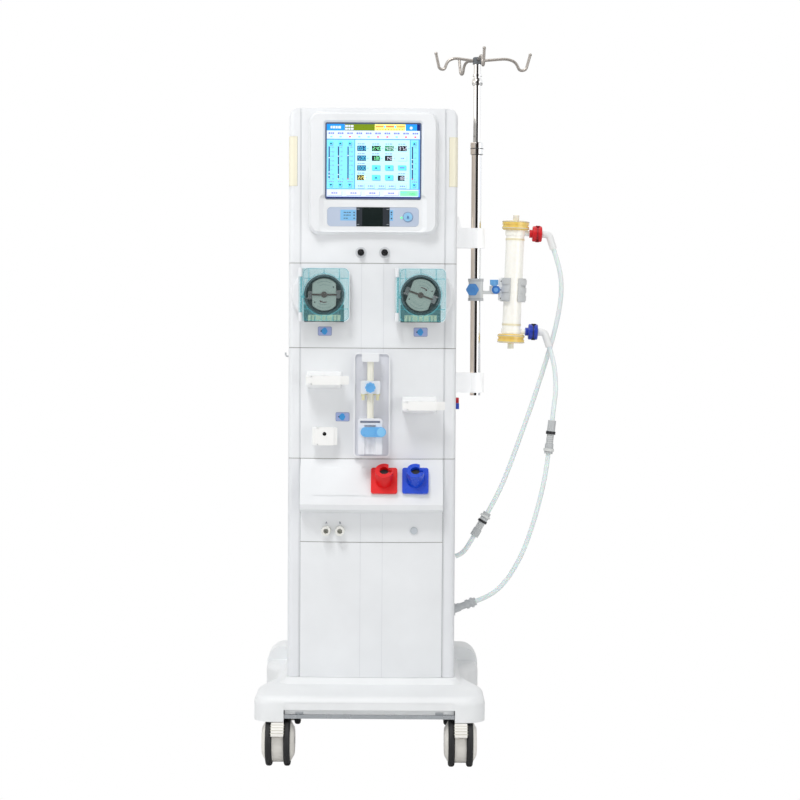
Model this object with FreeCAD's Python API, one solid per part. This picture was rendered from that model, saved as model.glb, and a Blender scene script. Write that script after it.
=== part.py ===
import FreeCAD, Part
import math
import os

# Haemodialysis machine on four swivel casters. Millimetres, +Z up, +X to the right as one faces the machine.
# The origin is on the floor, midway between the four caster stems. The front faces -Y.

V = FreeCAD.Vector

# Running and seating gaps
SEAT = 0.3
SHAFT_GAP = 0.05
SLIDE_GAP = 0.1

# Column
COLUMN_HALF_WIDTH = 173.0
COLUMN_DEPTH = 310.0
COLUMN_TOP = 1330.0
COLUMN_FOOT = 157.0
FRONT_Y = -95.0
WALL = 4.0
SEAM = 1.5
PILLAR_RADIUS = 11.0
PILLAR_INNER = 150.0
PILLAR_GROOVE = 3.0
PANEL_HALF = 147.0
BOW = 10.0
BOW_SIDE = 1.0
WRAP_DEPTH = 46.0
STRIP_HALF = 22.7
STRIP_GROOVE = 1.2
TOP_RADIUS = 20.0
CAP_HEIGHT = 40.0
REAR_Y = FRONT_Y + COLUMN_DEPTH

# Louvres of the rear cover
LOUVRE_LEVELS = (300.0, 1120.0)
LOUVRE_ROWS = 8
LOUVRE_PITCH = 16.0
LOUVRE_HEIGHT = 6.0
LOUVRE_HALF = 70.0

# Mains inlet in the rear cover: its sides, its foot and its top
MAINS_INLET = (74.0, 114.0, 238.0, 264.0)
MAINS_DEPTH = 15.0

# Levels of the seams
LEVEL_MONITOR = 1013.0
LEVEL_PUMPS = 839.0
LEVEL_MODULES = 611.0
LEVEL_LOWER = 438.5

# Chassis
POST_WIDTH = 25.0
POST_WALL = 3.0
SHELF = 2.0
RAIL_INNER = 168.5
RAIL_OUTER = 194.0
RAIL_BOTTOM = 106.0
RAIL_TOP = 136.0
FOOT_RAIL_HALF = 170.0
FOOT_RAIL_HEIGHT = 8.0
FOOT_RAIL_BOTTOM = 101.0

# Base cover
BASE_HALF_WIDTH = 232.0
BASE_FRONT = -253.0
BASE_REAR = 255.0
BASE_WAIST_HALF = 203.0
BASE_RIM = 95.0
BASE_TOP = 146.0
BASE_EDGE = 17.0
BASE_WALL = 4.0
BASE_CORNER = 38.0
HUMP_TOP = 174.0
HUMP_FRONT = 172.0
HUMP_RADIUS = 34.0
PLINTH_SPREAD = 14.0
FRONT_SLOT_TOP = 119.0
FRONT_SLOT_HALF = 171.0

# Casters
STEM_X = 183.0
STEM_Y = 200.0
STEM_RADIUS = 6.0
STEM_LENGTH = 22.0
WHEEL_RADIUS = 50.0
TREAD_WIDTH = 13.0
TREAD_DEPTH = 9.0
TREAD_ROUND = 5.0
TRAIL = 17.0
YOKE_WIDTH = 23.0
YOKE_RADIUS = 42.0
AXLE_RADIUS = 5.0
HUB_CAP_DEPTH = 8.0
COLLAR_RADIUS = 19.0
PEDAL_RADIUS = 54.0
PEDAL_THICK = 3.5
PEDAL_WIDTH = 25.0
PEDAL_WEB = 9.0
PEDAL_PIN = 2.5
PEDAL_SWING = 2.0

# Monitor
BEZEL_HALF = 133.0
BEZEL_BOTTOM = 1071.0
BEZEL_TOP = 1322.0
BEZEL_PROUD = 14.0
BEZEL_DRAFT = 6.0
SCREEN_HALF = 98.0
SCREEN_BOTTOM = 1143.0
SCREEN_TOP = 1299.0
SCREEN_THICK = 8.0
SCREEN_SUNK = 5.0
STRIP_PANEL_HALF = 93.5
STRIP_PANEL_BOTTOM = 1088.0
STRIP_PANEL_TOP = 1127.0
STRIP_PANEL_THICK = 3.0
DISPLAY_HALF = 34.0
CHIN_SUNK = 6.0
BUTTON_X = 71.5
BUTTON_RADIUS = 9.0
BUTTON_PROUD = 1.6
LAMP_BOTTOM = 1171.0
LAMP_TOP = 1272.0
LAMP_INNER = 156.0
LAMP_DEPTH = 28.0
JACK_X = 24.3
JACK_Z = 1035.0
JACK_RADIUS = 6.8
JACK_PROUD = 13.0

# Blood pumps
PUMP_X = 98.5
PUMP_Z = 948.0
HOUSING_HALF = 52.5
HOUSING_HALF_HEIGHT = 55.5
HOUSING_BACK = FRONT_Y - 14.0
HOUSING_DEPTH = 24.0
HOUSING_FLOOR = 4.0
BOSS_X = 110.0
BOSS_RADIUS = 56.0
RACE_RADIUS = 41.0
RACE_WALL = 3.2
ROTOR_RADIUS = 33.0
ROTOR_FLAT = 24.5
ROTOR_PLATE = 3.0
ROLLER_RADIUS = 8.0
ROLLER_ORBIT = 26.5
ROLLER_PIN = 2.5
SHAFT_RADIUS = 6.0
CRANK_LENGTH = 52.0
CRANK_WIDTH = 3.8
COVER_THICK = 5.0
HINGE_PIN = 1.5
KNUCKLE = 3.2
ROTOR_ARM = 7.0
EXIT_INNER = 28.6
EXIT_OUTER = 40.0

# Guide posts under each pump: the pocket's sides, and each post's place and radius, from the pump's middle
GUIDE_POCKET = (18.6, 34.0)
GUIDE_FOOT = 54.0
GUIDE_HEAD = 42.5
GUIDE_POSTS = ((22.3, 2.6), (29.8, 3.2))

# Detectors
DETECTOR_HALF = 35.7
DETECTOR_FRONT_HEIGHT = 18.4
DETECTOR_BACK_HEIGHT = 35.0
DETECTOR_DEPTH = 46.0
DOOR_THICK = 11.7
DOOR_TAB = 16.0
EAR = 3.0
TUBE_SLOT = 5.5
AIR_DETECTOR = (-98.4, 774.0)
BLOOD_DETECTOR = (97.5, 723.0)
SENSOR_CENTRE = (-99.6, 658.5)
SENSOR_HALF = 22.0
SENSOR_HEIGHT = 37.0
SENSOR_DEPTH = 21.0

# Syringe pump
SYRINGE_X = -2.8
PLATE_HALF = 37.4
PLATE_BOTTOM = 615.0
PLATE_TOP = 830.0
PLATE_FRONT = FRONT_Y - 20.0
ROD_RADIUS = 6.7
ROD_Y = FRONT_Y - 42.0
CAP_HALF = 17.5
CAP_BOTTOM = 812.0
CARRIAGE_HALF = 19.7
CARRIAGE_BOTTOM = 747.0
CARRIAGE_TOP = 773.0
CRADLE_HALF = 24.4
CRADLE_BOTTOM = 624.0
CRADLE_TOP = 697.0
CRADLE_FRONT = FRONT_Y - 62.0
LEVER_PIVOT_X = 19.5
LEVER_Z = 670.0
LEVER_RADIUS = 10.0
LEVER_LENGTH = 31.5

# Rinse ports and ledge
LEDGE_PROUD = 33.0
LEDGE_TOP = 519.0
LEDGE_BOTTOM = 508.0
LEDGE_ROOT = 499.0
LEDGE_LIP = 3.0
RINSE_PLATE = (-125.0, 122.0, 538.0, 594.0)
PLATE_PROUD = 1.8
RINSE_X = (26.0, 90.0)
RINSE_Z = 566.0
RINSE_BASE = 27.0
RINSE_RADIUS = 18.5
RINSE_BORE = 9.5
RINSE_LENGTH = 46.0
RINSE_DEPTH = 26.0
RINSE_TIP = 4.0
RINSE_TILT = 45.0

# Concentrate ports
CONCENTRATE_X = (-93.0, -64.5)
CONCENTRATE_Z = 463.0
CONCENTRATE_RADIUS = 9.4
PLUG_X = 88.0
PLUG_RADIUS = 7.3
PORT_SEAT = 2.0
PORT_STEP = 2.0

# Pole
POLE_X = 217.0
POLE_Y = FRONT_Y + 130.0
POLE_RADIUS = 11.0
POLE_BORE = 8.3
ROD_POLE_RADIUS = 8.0
POLE_FOOT = 738.0
COLLAR_FOOT = 1247.0
POLE_COLLAR_TOP = 1273.0
ROD_LIFT = 112.0
HOOK_HUB = 1437.0
HOOK_WIRE = 3.0
STOP_DROP = 37.0
FLANGE_DROP = 25.0

# Each bag hook: the share of its reach and the rise above the hub's foot of the points along its wire
HOOK_BEND = ((0.55, 13.0), (0.72, 7.0), (0.8, -12.0), (0.92, -10.0), (1.0, 22.0))
HOOKS = ((4, 112), (112, 96), (184, 88), (276, 96))
BRACKET_RADIUS = 18.5
BRACKET_LEVELS = ((744.0, 786.0), (1050.0, 1092.0))

# Holder and dialyser
HOLDER_Z = 962.0
CLAMP_HEIGHT = 47.0
SWIVEL_X = 256.0
DIALYSER_X = 296.0
DIALYSER_LEAN = 2.0
CASE_RADIUS = 19.6
CASE_WALL = 1.8
CASE_BOTTOM = 869.0
CASE_TOP = 1088.5
END_CAP_RADIUS = 28.5
END_CAP_HEIGHT = 19.5
PORT_RADIUS = 5.5
RED_PORT_Z = 1082.5
BLUE_PORT_Z = 875.0
COUPLING_RADIUS = 16.5
ELBOW_RADIUS = 7.5
HOSE_RADIUS = 5.0
JAW_RADIUS = 27.0
JAW_HALF_HEIGHT = 25.0


def box(x0, x1, y0, y1, z0, z1):
    return Part.makeBox(x1 - x0, y1 - y0, z1 - z0, V(x0, y0, z0))


def rod(start, direction, radius, length):
    return Part.makeCylinder(radius, length, V(*start), V(*direction))


def ring(start, direction, outer, inner, length):
    return rod(start, direction, outer, length).cut(rod(start, direction, inner, length))


def join(first, *others):
    return first.multiFuse(list(others)).removeSplitter()


def remove(body, *tools):
    for tool in tools:
        body = body.cut(tool)
    return body


def rectangle(u0, u1, v0, v1):
    return [(u0, v0), (u1, v0), (u1, v1), (u0, v1)]


def rounded_wire(points, radii, place):
    """A closed outline through the points, with an arc of the given radius at each."""
    count = len(points)
    if not isinstance(radii, (list, tuple)):
        radii = [radii] * count
    spans = []
    for i, (corner, radius) in enumerate(zip(points, radii)):
        here = V(corner[0], corner[1], 0)
        back = V(*points[i - 1], 0) - here
        ahead = V(*points[(i + 1) % count], 0) - here
        back.normalize()
        ahead.normalize()
        if radius <= 0:
            spans.append((here, None, here))
            continue
        half = back.getAngle(ahead) / 2
        reach = radius / math.tan(half)
        middle = back + ahead
        middle.normalize()
        top = here + middle * (radius / math.sin(half) - radius)
        spans.append((here + back * reach, top, here + ahead * reach))
    edges = []
    for i, (start, top, end) in enumerate(spans):
        if top is not None:
            edges.append(Part.Arc(place(start), place(top), place(end)).toShape())
        follow = spans[(i + 1) % count][0]
        if (follow - end).Length > 1e-6:
            edges.append(Part.LineSegment(place(end), place(follow)).toShape())
    return Part.Wire(edges)


def front_prism(points, radii, y0, y1):
    wire = rounded_wire(points, radii, lambda p: V(p.x, y0, p.y))
    return Part.Face(wire).extrude(V(0, y1 - y0, 0))


def plan_prism(points, radii, z0, z1):
    wire = rounded_wire(points, radii, lambda p: V(p.x, p.y, z0))
    return Part.Face(wire).extrude(V(0, 0, z1 - z0))


def side_prism(points, radii, x0, x1):
    wire = rounded_wire(points, radii, lambda p: V(x0, p.x, p.y))
    return Part.Face(wire).extrude(V(x1 - x0, 0, 0))


def front_loft(back, back_y, front, front_y):
    """A tapered block between two rounded outlines seen from the front."""
    rings = []
    for (points, radii), y in ((back, back_y), (front, front_y)):
        rings.append(rounded_wire(points, radii, lambda p, y=y: V(p.x, y, p.y)))
    return Part.makeLoft(rings, True, True)


def route_wire(points):
    """Straight runs joined by tangent arcs. Returns the wire and its arc radii."""
    stops = [V(*p) for p in points]
    edges = []
    radii = []
    last = stops[0]
    for before, corner, after in zip(stops, stops[1:], stops[2:]):
        back = before - corner
        ahead = after - corner
        short = min(back.Length, ahead.Length)
        half_turn = (math.pi - back.getAngle(ahead)) / 2
        back.normalize()
        ahead.normalize()
        reach = 0.45 * short
        radius = reach / math.tan(half_turn)
        middle = back + ahead
        middle.normalize()
        top = corner + middle * (radius / math.cos(half_turn) - radius)
        edges.append(Part.LineSegment(last, corner + back * reach).toShape())
        last = corner + ahead * reach
        edges.append(Part.Arc(corner + back * reach, top, last).toShape())
        radii.append(radius)
    edges.append(Part.LineSegment(last, stops[-1]).toShape())
    return Part.Wire(edges), radii


def tube_along(points, radius, name=None):
    """A solid round tube along a route. A named route reports its radii and volume."""
    wire, radii = route_wire(points)
    start = V(*points[0])
    along = V(*points[1]) - start
    section = Part.Wire([Part.makeCircle(radius, start, along)])
    tube = wire.makePipeShell([section], True, False)
    if name:
        expected = math.pi * radius ** 2 * wire.Length
        listed = " ".join(f"{r:.0f}" for r in radii)
        print(f"{name}: length {wire.Length:.0f}, radii {listed}, volume {tube.Volume / expected:.3f}")
    return tube


def lean(shape):
    """Leans a piece of the dialyser group about the jaw, to the right."""
    turned = shape.copy()
    turned.rotate(V(DIALYSER_X, POLE_Y, HOLDER_Z), V(0, 1, 0), DIALYSER_LEAN)
    return turned


def lean_point(point):
    angle = math.radians(DIALYSER_LEAN)
    x = point[0] - DIALYSER_X
    z = point[2] - HOLDER_Z
    turned_x = DIALYSER_X + x * math.cos(angle) + z * math.sin(angle)
    turned_z = HOLDER_Z - x * math.sin(angle) + z * math.cos(angle)
    return (turned_x, point[1], turned_z)


def bow_y(x):
    """How far forward the bowed front stands at x, by its circle."""
    rise = BOW - BOW_SIDE
    radius = (PANEL_HALF ** 2 + rise ** 2) / (2 * rise)
    return FRONT_Y - BOW + radius - math.sqrt(radius ** 2 - x ** 2)


def column_profile(inset, rear, z0, z1):
    """The column's plan, from its bowed front with corner pillars to rear, set in by inset."""
    half = COLUMN_HALF_WIDTH - inset
    front = FRONT_Y + inset
    radius = PILLAR_RADIUS - inset
    groove = PILLAR_GROOVE if inset <= 0 else 0.0
    inner = PILLAR_INNER if inset <= 0 else PANEL_HALF - inset
    bow_half = PANEL_HALF - max(inset, 0)
    side_y = FRONT_Y - BOW_SIDE + inset
    points = [(-half, rear), (-half, front + radius)]
    edges = [Part.LineSegment(V(*points[0], z0), V(*points[1], z0)).toShape()]
    turn = radius * (1 - math.sqrt(0.5))
    corner = V(-half + turn, front + turn, z0)
    edges.append(Part.Arc(V(*points[1], z0), corner, V(-half + radius, front, z0)).toShape())
    path = [(-half + radius, front), (-inner, front)]
    if groove:
        path += [(-inner, front + groove), (-bow_half, front + groove)]
    path.append((-bow_half, side_y))
    for a, b in zip(path, path[1:]):
        edges.append(Part.LineSegment(V(*a, z0), V(*b, z0)).toShape())
    left = V(-bow_half, side_y, z0)
    right = V(bow_half, side_y, z0)
    edges.append(Part.Arc(left, V(0, FRONT_Y - BOW + inset, z0), right).toShape())
    for a, b in zip(path, path[1:]):
        edges.append(Part.LineSegment(V(-a[0], a[1], z0), V(-b[0], b[1], z0)).toShape())
    edges.append(Part.Arc(V(half - radius, front, z0), V(half - turn, front + turn, z0),
                          V(half, front + radius, z0)).toShape())
    edges.append(Part.LineSegment(V(half, front + radius, z0), V(half, rear, z0)).toShape())
    edges.append(Part.LineSegment(V(half, rear, z0), V(-half, rear, z0)).toShape())
    wire = Part.Wire(Part.sortEdges(edges)[0])
    return Part.Face(wire).extrude(V(0, 0, z1 - z0))


def strip_grooves(z0, z1):
    """The two fine grooves that frame the centre strip."""
    found = []
    for x in (-STRIP_HALF, STRIP_HALF):
        y = bow_y(x)
        found.append(box(x - STRIP_GROOVE / 2, x + STRIP_GROOVE / 2, y - 9, y + STRIP_GROOVE, z0, z1))
    return found


def bow_outline(half, z, inset, proud=0.0):
    """The plan of a bowed front panel between the pillars, back to the posts, at level z."""
    side_y = bow_y(half) + inset - proud
    left = V(-half, side_y, z)
    right = V(half, side_y, z)
    rear = FRONT_Y + WALL
    bow = Part.Arc(left, V(0, FRONT_Y - BOW + inset - proud, z), right).toShape()
    edges = [bow, Part.LineSegment(right, V(half, rear, z)).toShape(),
             Part.LineSegment(V(half, rear, z), V(-half, rear, z)).toShape(),
             Part.LineSegment(V(-half, rear, z), left).toShape()]
    return Part.Wire(edges)


def wrap_panel(z0, z1):
    """A front panel that wraps round both pillars, moulded with even walls."""
    low = z0 + SEAM / 2
    high = z1 - SEAM / 2
    rear = FRONT_Y + WRAP_DEPTH
    shell = column_profile(0, rear, low, high)
    shell = shell.cut(column_profile(WALL, rear + 1, low - 1, high + 1))
    return remove(shell, *strip_grooves(low, high))


def seated_on_front(shape, z0, z1):
    """Cuts a block's back so that it sits against the bowed front."""
    return shape.cut(column_profile(-0.2, FRONT_Y + 40, z0, z1))


def base_outline(inset):
    """The dog-bone plan of the base: wide feet, a narrower waist."""
    half = BASE_HALF_WIDTH - inset
    waist = BASE_WAIST_HALF - inset
    front = BASE_FRONT + inset
    rear = BASE_REAR - inset
    corner = BASE_CORNER - inset
    right = [(half, front, corner), (half, STEM_Y * -0.62, 60), (waist, STEM_Y * -0.16, 90),
             (waist, STEM_Y * 0.42, 70), (half, STEM_Y * 0.72, 40), (half, rear, corner)]
    points = [(x, y) for x, y, r in right] + [(-x, y) for x, y, r in reversed(right)]
    radii = [r for x, y, r in right] + [r for x, y, r in reversed(right)]
    return points, radii


def base_body(inset):
    """The base as a solid, with its rounded lip, its plinth and the raised rear feet."""
    points, radii = base_outline(inset)
    slab = plan_prism(points, radii, BASE_RIM, BASE_TOP - inset)
    top_edges = [e for e in slab.Edges if abs(e.BoundBox.ZMin - e.BoundBox.ZMax) < 1e-6
                 and e.BoundBox.ZMin > BASE_TOP - inset - 1]
    slab = slab.makeFillet(BASE_EDGE - inset / 2, top_edges)
    hump_half = BASE_HALF_WIDTH - inset
    hump_points = rectangle(-hump_half, hump_half, BASE_RIM, HUMP_TOP - inset)
    hump = front_prism(hump_points, [0, 0, HUMP_RADIUS, HUMP_RADIUS], HUMP_FRONT + inset, BASE_REAR - inset)
    hump = hump.common(plan_prism(points, radii, BASE_RIM, HUMP_TOP))
    foot = COLUMN_HALF_WIDTH - inset + 3
    lower = rectangle(-foot - PLINTH_SPREAD, foot + PLINTH_SPREAD,
                      FRONT_Y - 26 + inset, REAR_Y + 12 - inset)
    upper = rectangle(-foot, foot, FRONT_Y - 12 + inset, REAR_Y + 4 - inset)
    rings = []
    for outline, z, radius in ((lower, BASE_TOP - inset - 2, 24), (upper, COLUMN_FOOT - inset, 14)):
        rings.append(rounded_wire(outline, radius, lambda p, z=z: V(p.x, p.y, z)))
    plinth = Part.makeLoft(rings, True, True)
    return join(slab, hump, plinth)


def base_cover():
    """The moulded base: a hollow dog-bone tray turned upside down over the chassis."""
    shell = base_body(0).cut(base_body(BASE_WALL))
    opening = COLUMN_HALF_WIDTH - WALL + SEAT
    standing = COLUMN_HALF_WIDTH + SEAT
    shell = shell.cut(box(-standing, standing, FRONT_Y, REAR_Y + SEAT, COLUMN_FOOT, HUMP_TOP + 1))
    shell = shell.cut(box(-opening, opening, FRONT_Y + WALL, REAR_Y - WALL, BASE_TOP - 20, HUMP_TOP + 1))
    slot = FRONT_SLOT_HALF
    shell = shell.cut(box(-slot, slot, BASE_FRONT - 2, BASE_FRONT + BASE_WALL + 1, BASE_RIM - 1, FRONT_SLOT_TOP))
    strip = front_prism(rectangle(-slot, slot, FRONT_SLOT_TOP - 20, BASE_TOP - 12), 4,
                        BASE_FRONT - 5, BASE_FRONT + 1.6)
    return shell.cut(strip)


def corner_post(side_x, side_y, z0, z1):
    """An angle-section upright in one corner of the column."""
    outer_x = side_x * (COLUMN_HALF_WIDTH - WALL - SEAT)
    outer_y = FRONT_Y + WALL + SEAT if side_y < 0 else REAR_Y - POST_WALL - SEAT
    inner_x = outer_x - side_x * POST_WIDTH
    inner_y = outer_y - side_y * POST_WIDTH
    leg_x = sorted((outer_x, outer_x - side_x * POST_WALL))
    leg_y = sorted((outer_y, outer_y - side_y * POST_WALL))
    along_x = sorted((outer_x, inner_x))
    along_y = sorted((outer_y, inner_y))
    room = column_profile(WALL + SEAT, REAR_Y, z0, z1)
    return [box(*leg_x, *along_y, z0, z1).common(room), box(*along_x, *leg_y, z0, z1).common(room)]


def chassis_frame():
    """The welded steel chassis: two side rails, cross rails, four uprights and the shelves."""
    pieces = []
    for side in (-1, 1):
        x0, x1 = sorted((side * RAIL_INNER, side * RAIL_OUTER))
        pieces.append(box(x0, x1, -STEM_Y - 25, STEM_Y + 25, RAIL_BOTTOM, RAIL_TOP))
        for end in (-1, 1):
            pieces += corner_post(side, end, RAIL_TOP - 10, COLUMN_TOP - TOP_RADIUS - SEAT)
    for y in (-STEM_Y, 0, STEM_Y):
        pieces.append(box(-STEM_X, STEM_X, y - 12, y + 12, RAIL_BOTTOM + 4, RAIL_TOP - 2))
    inner = COLUMN_HALF_WIDTH - WALL - SEAT - POST_WALL
    front = FRONT_Y + WALL + SEAT + POST_WALL
    rear = REAR_Y - POST_WALL - SEAT - POST_WALL
    for level in (RAIL_TOP - SHELF, LEVEL_LOWER + 8, LEVEL_MODULES + 6, LEVEL_PUMPS + 6, LEVEL_MONITOR + 6):
        pieces.append(box(-inner, inner, front, rear, level, level + SHELF))
    rail_front = BASE_FRONT + BASE_WALL + 1
    pieces.append(box(-FOOT_RAIL_HALF, FOOT_RAIL_HALF, rail_front, rail_front + 5,
                      FOOT_RAIL_BOTTOM, FOOT_RAIL_BOTTOM + FOOT_RAIL_HEIGHT))
    for side in (-1, 1):
        x = side * (FOOT_RAIL_HALF - 30)
        pieces.append(box(x - 8, x + 8, rail_front + 4, -STEM_Y - 10, FOOT_RAIL_BOTTOM + 5, RAIL_BOTTOM + 8))
    frame = join(*pieces)
    for side in (-1, 1):
        for end in (-1, 1):
            frame = frame.cut(rod((side * STEM_X, end * STEM_Y, RAIL_BOTTOM - 1), (0, 0, 1),
                                  STEM_RADIUS + SHAFT_GAP, STEM_LENGTH + 2))
    return frame


def side_panels():
    """The left and right side sheets; below the module level each one carries its front pillar."""
    top = COLUMN_TOP - CAP_HEIGHT - SEAM
    low = COLUMN_FOOT + SEAT
    upper_front = FRONT_Y + WRAP_DEPTH + SEAM
    ring_part = column_profile(0, REAR_Y, low, LEVEL_MODULES - SEAM / 2)
    ring_part = ring_part.cut(column_profile(WALL, REAR_Y + 1, low - 1, LEVEL_MODULES))
    middle = box(-PILLAR_INNER + 1, PILLAR_INNER - 1, FRONT_Y - 30, REAR_Y + 1, low - 1, LEVEL_MODULES)
    pillars = ring_part.cut(middle)
    sheets = []
    inner = COLUMN_HALF_WIDTH - WALL
    for side in (-1, 1):
        x0, x1 = sorted((side * inner, side * COLUMN_HALF_WIDTH))
        sheets.append(box(x0, x1, upper_front, REAR_Y, LEVEL_MODULES - SEAM, top))
    halves = []
    for side, sheet in zip((-1, 1), sheets):
        x0, x1 = sorted((0, side * (COLUMN_HALF_WIDTH + 10)))
        half = pillars.common(box(x0, x1, FRONT_Y - 30, REAR_Y + 1, low - 1, LEVEL_MODULES))
        halves.append(join(half, sheet))
    return Part.makeCompound(halves)


def rear_cover():
    """The removable back sheet with two fields of louvres and a stiffening frame."""
    half = COLUMN_HALF_WIDTH - WALL - SEAT
    low = COLUMN_FOOT + SEAT
    high = COLUMN_TOP - WALL - SEAT
    corner = TOP_RADIUS - WALL - SEAT
    sheet = front_prism(rectangle(-half, half, low, high), [0, 0, corner, corner], REAR_Y - POST_WALL, REAR_Y)
    slots = []
    for level in LOUVRE_LEVELS:
        for row in range(LOUVRE_ROWS):
            z = level + row * LOUVRE_PITCH
            slots.append(front_prism(rectangle(-LOUVRE_HALF, LOUVRE_HALF, z, z + LOUVRE_HEIGHT), 2.9,
                                     REAR_Y - POST_WALL - 1, REAR_Y + 1))
    x0, x1, z0, z1 = MAINS_INLET
    slots.append(box(x0 - SEAT, x1 + SEAT, REAR_Y - POST_WALL - 1, REAR_Y + 1, z0 - SEAT, z1 + SEAT))
    return remove(sheet, *slots)


def lamp_region(gap):
    """The corner slice of the housing that holds the status lamp on the right."""
    side = COLUMN_HALF_WIDTH + 5
    return box(LAMP_INNER - gap, side, FRONT_Y - 5, FRONT_Y + LAMP_DEPTH + gap,
               LAMP_BOTTOM - gap, LAMP_TOP + gap)


def mirrored(shape):
    return shape.mirror(V(0, 0, 0), V(1, 0, 0))


def status_lamps():
    """The two lamp lenses, which follow the pillar corners and stand a little proud."""
    body = column_profile(-0.6, FRONT_Y + 60, LAMP_BOTTOM, LAMP_TOP)
    body = body.cut(column_profile(WALL, FRONT_Y + 61, LAMP_BOTTOM - 1, LAMP_TOP + 1))
    lens = body.common(lamp_region(0))
    return Part.makeCompound([lens, mirrored(lens)])


def bezel_region(inset, z_low):
    half = BEZEL_HALF - inset
    return rectangle(-half, half, z_low + inset, BEZEL_TOP - inset)


def monitor_housing():
    """The top moulding: front with raised bezel, wrapped pillars and the lid over the column."""
    low = LEVEL_MONITOR + SEAM / 2
    outer = column_profile(0, REAR_Y, low, COLUMN_TOP)
    inner = column_profile(WALL, REAR_Y + 1, low - 1, COLUMN_TOP - WALL)
    arch = front_prism(rectangle(-COLUMN_HALF_WIDTH, COLUMN_HALF_WIDTH, low, COLUMN_TOP),
                       [0, 0, TOP_RADIUS, TOP_RADIUS], FRONT_Y - 40, REAR_Y + 1)
    inner_half = COLUMN_HALF_WIDTH - WALL
    hollow = front_prism(rectangle(-inner_half, inner_half, low - 1, COLUMN_TOP - WALL),
                         [0, 0, TOP_RADIUS - WALL, TOP_RADIUS - WALL], FRONT_Y - 40, REAR_Y + 2)
    hollow = hollow.common(inner)
    front = FRONT_Y - BOW
    bezel = front_loft((bezel_region(0, BEZEL_BOTTOM), 24), front + 6,
                       (bezel_region(BEZEL_DRAFT, BEZEL_BOTTOM), 18), front - BEZEL_PROUD)
    shell = join(outer.common(arch), bezel.common(arch))
    shell = shell.cut(hollow)
    rear_gap = box(-200, 200, FRONT_Y + WRAP_DEPTH, REAR_Y + 1, low - 1, COLUMN_TOP - CAP_HEIGHT)
    shell = shell.cut(rear_gap)
    face = front - BEZEL_PROUD
    chin = front_loft((rectangle(-101, 101, STRIP_PANEL_BOTTOM - 9, SCREEN_BOTTOM + 10), 10), face + CHIN_SUNK,
                      (rectangle(-112, 112, STRIP_PANEL_BOTTOM - 14, SCREEN_BOTTOM + 10), 14), face - 1)
    screen_mouth = front_loft((rectangle(-SCREEN_HALF, SCREEN_HALF, SCREEN_BOTTOM, SCREEN_TOP), 4),
                              face + SCREEN_SUNK,
                              (rectangle(-SCREEN_HALF - 5, SCREEN_HALF + 5, SCREEN_BOTTOM - 5, SCREEN_TOP + 5), 8),
                              face - 1)
    seat = SCREEN_THICK + SEAT
    gap = SEAT
    screen_pocket = front_prism(rectangle(-SCREEN_HALF - gap, SCREEN_HALF + gap,
                                          SCREEN_BOTTOM - gap, SCREEN_TOP + gap), 4,
                                face - 2, face + SCREEN_SUNK + seat)
    strip_pocket = front_prism(rectangle(-STRIP_PANEL_HALF - gap, STRIP_PANEL_HALF + gap,
                                         STRIP_PANEL_BOTTOM - gap, STRIP_PANEL_TOP + gap), 8,
                               face - 2, face + CHIN_SUNK + STRIP_PANEL_THICK)
    shell = remove(shell, chin, screen_mouth, screen_pocket, strip_pocket)
    shell = shell.cut(rod((BUTTON_X, face - 5, (STRIP_PANEL_BOTTOM + STRIP_PANEL_TOP) / 2), (0, 1, 0),
                          3 + SLIDE_GAP, 40))
    shell = remove(shell, lamp_region(SEAT), mirrored(lamp_region(SEAT)))
    for x in (-JACK_X, JACK_X):
        shell = shell.cut(rod((x, FRONT_Y - 30, JACK_Z), (0, 1, 0), JACK_RADIUS + 0.2, 60))
    return shell


def bezel_face():
    return FRONT_Y - BOW - BEZEL_PROUD


def touch_screen():
    """The display module with its thin frame."""
    y = bezel_face() + SCREEN_SUNK
    panel = front_prism(rectangle(-SCREEN_HALF, SCREEN_HALF, SCREEN_BOTTOM, SCREEN_TOP), 3.7,
                        y, y + SCREEN_THICK)
    window = front_prism(rectangle(-SCREEN_HALF + 3, SCREEN_HALF - 3, SCREEN_BOTTOM + 3, SCREEN_TOP - 3), 1,
                         y - 1, y + 0.8)
    return panel.cut(window)


def control_panel():
    """The key strip under the screen, with its dark display window in the middle."""
    y = bezel_face() + CHIN_SUNK
    strip = front_prism(rectangle(-STRIP_PANEL_HALF, STRIP_PANEL_HALF, STRIP_PANEL_BOTTOM, STRIP_PANEL_TOP),
                        7.7, y, y + STRIP_PANEL_THICK)
    window = front_prism(rectangle(-DISPLAY_HALF, DISPLAY_HALF, STRIP_PANEL_BOTTOM + 0.5, STRIP_PANEL_TOP - 0.5),
                         1, y - 0.8, y + 1)
    middle = (STRIP_PANEL_BOTTOM + STRIP_PANEL_TOP) / 2
    strip = join(strip, window)
    return strip.cut(rod((BUTTON_X, y - 3, middle), (0, 1, 0), BUTTON_RADIUS + SLIDE_GAP, 10))


def mute_button():
    """The round alarm key; its stem slides in the housing."""
    y = bezel_face() + CHIN_SUNK
    middle = (STRIP_PANEL_BOTTOM + STRIP_PANEL_TOP) / 2
    cap = rod((BUTTON_X, y - BUTTON_PROUD, middle), (0, 1, 0), BUTTON_RADIUS,
              BUTTON_PROUD + STRIP_PANEL_THICK - 1.3)
    rim = min(cap.Edges, key=lambda edge: edge.BoundBox.YMax)
    cap = cap.makeFillet(0.8, [rim])
    stem = rod((BUTTON_X, y, middle), (0, 1, 0), 3, 18)
    return join(cap, stem)


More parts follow.
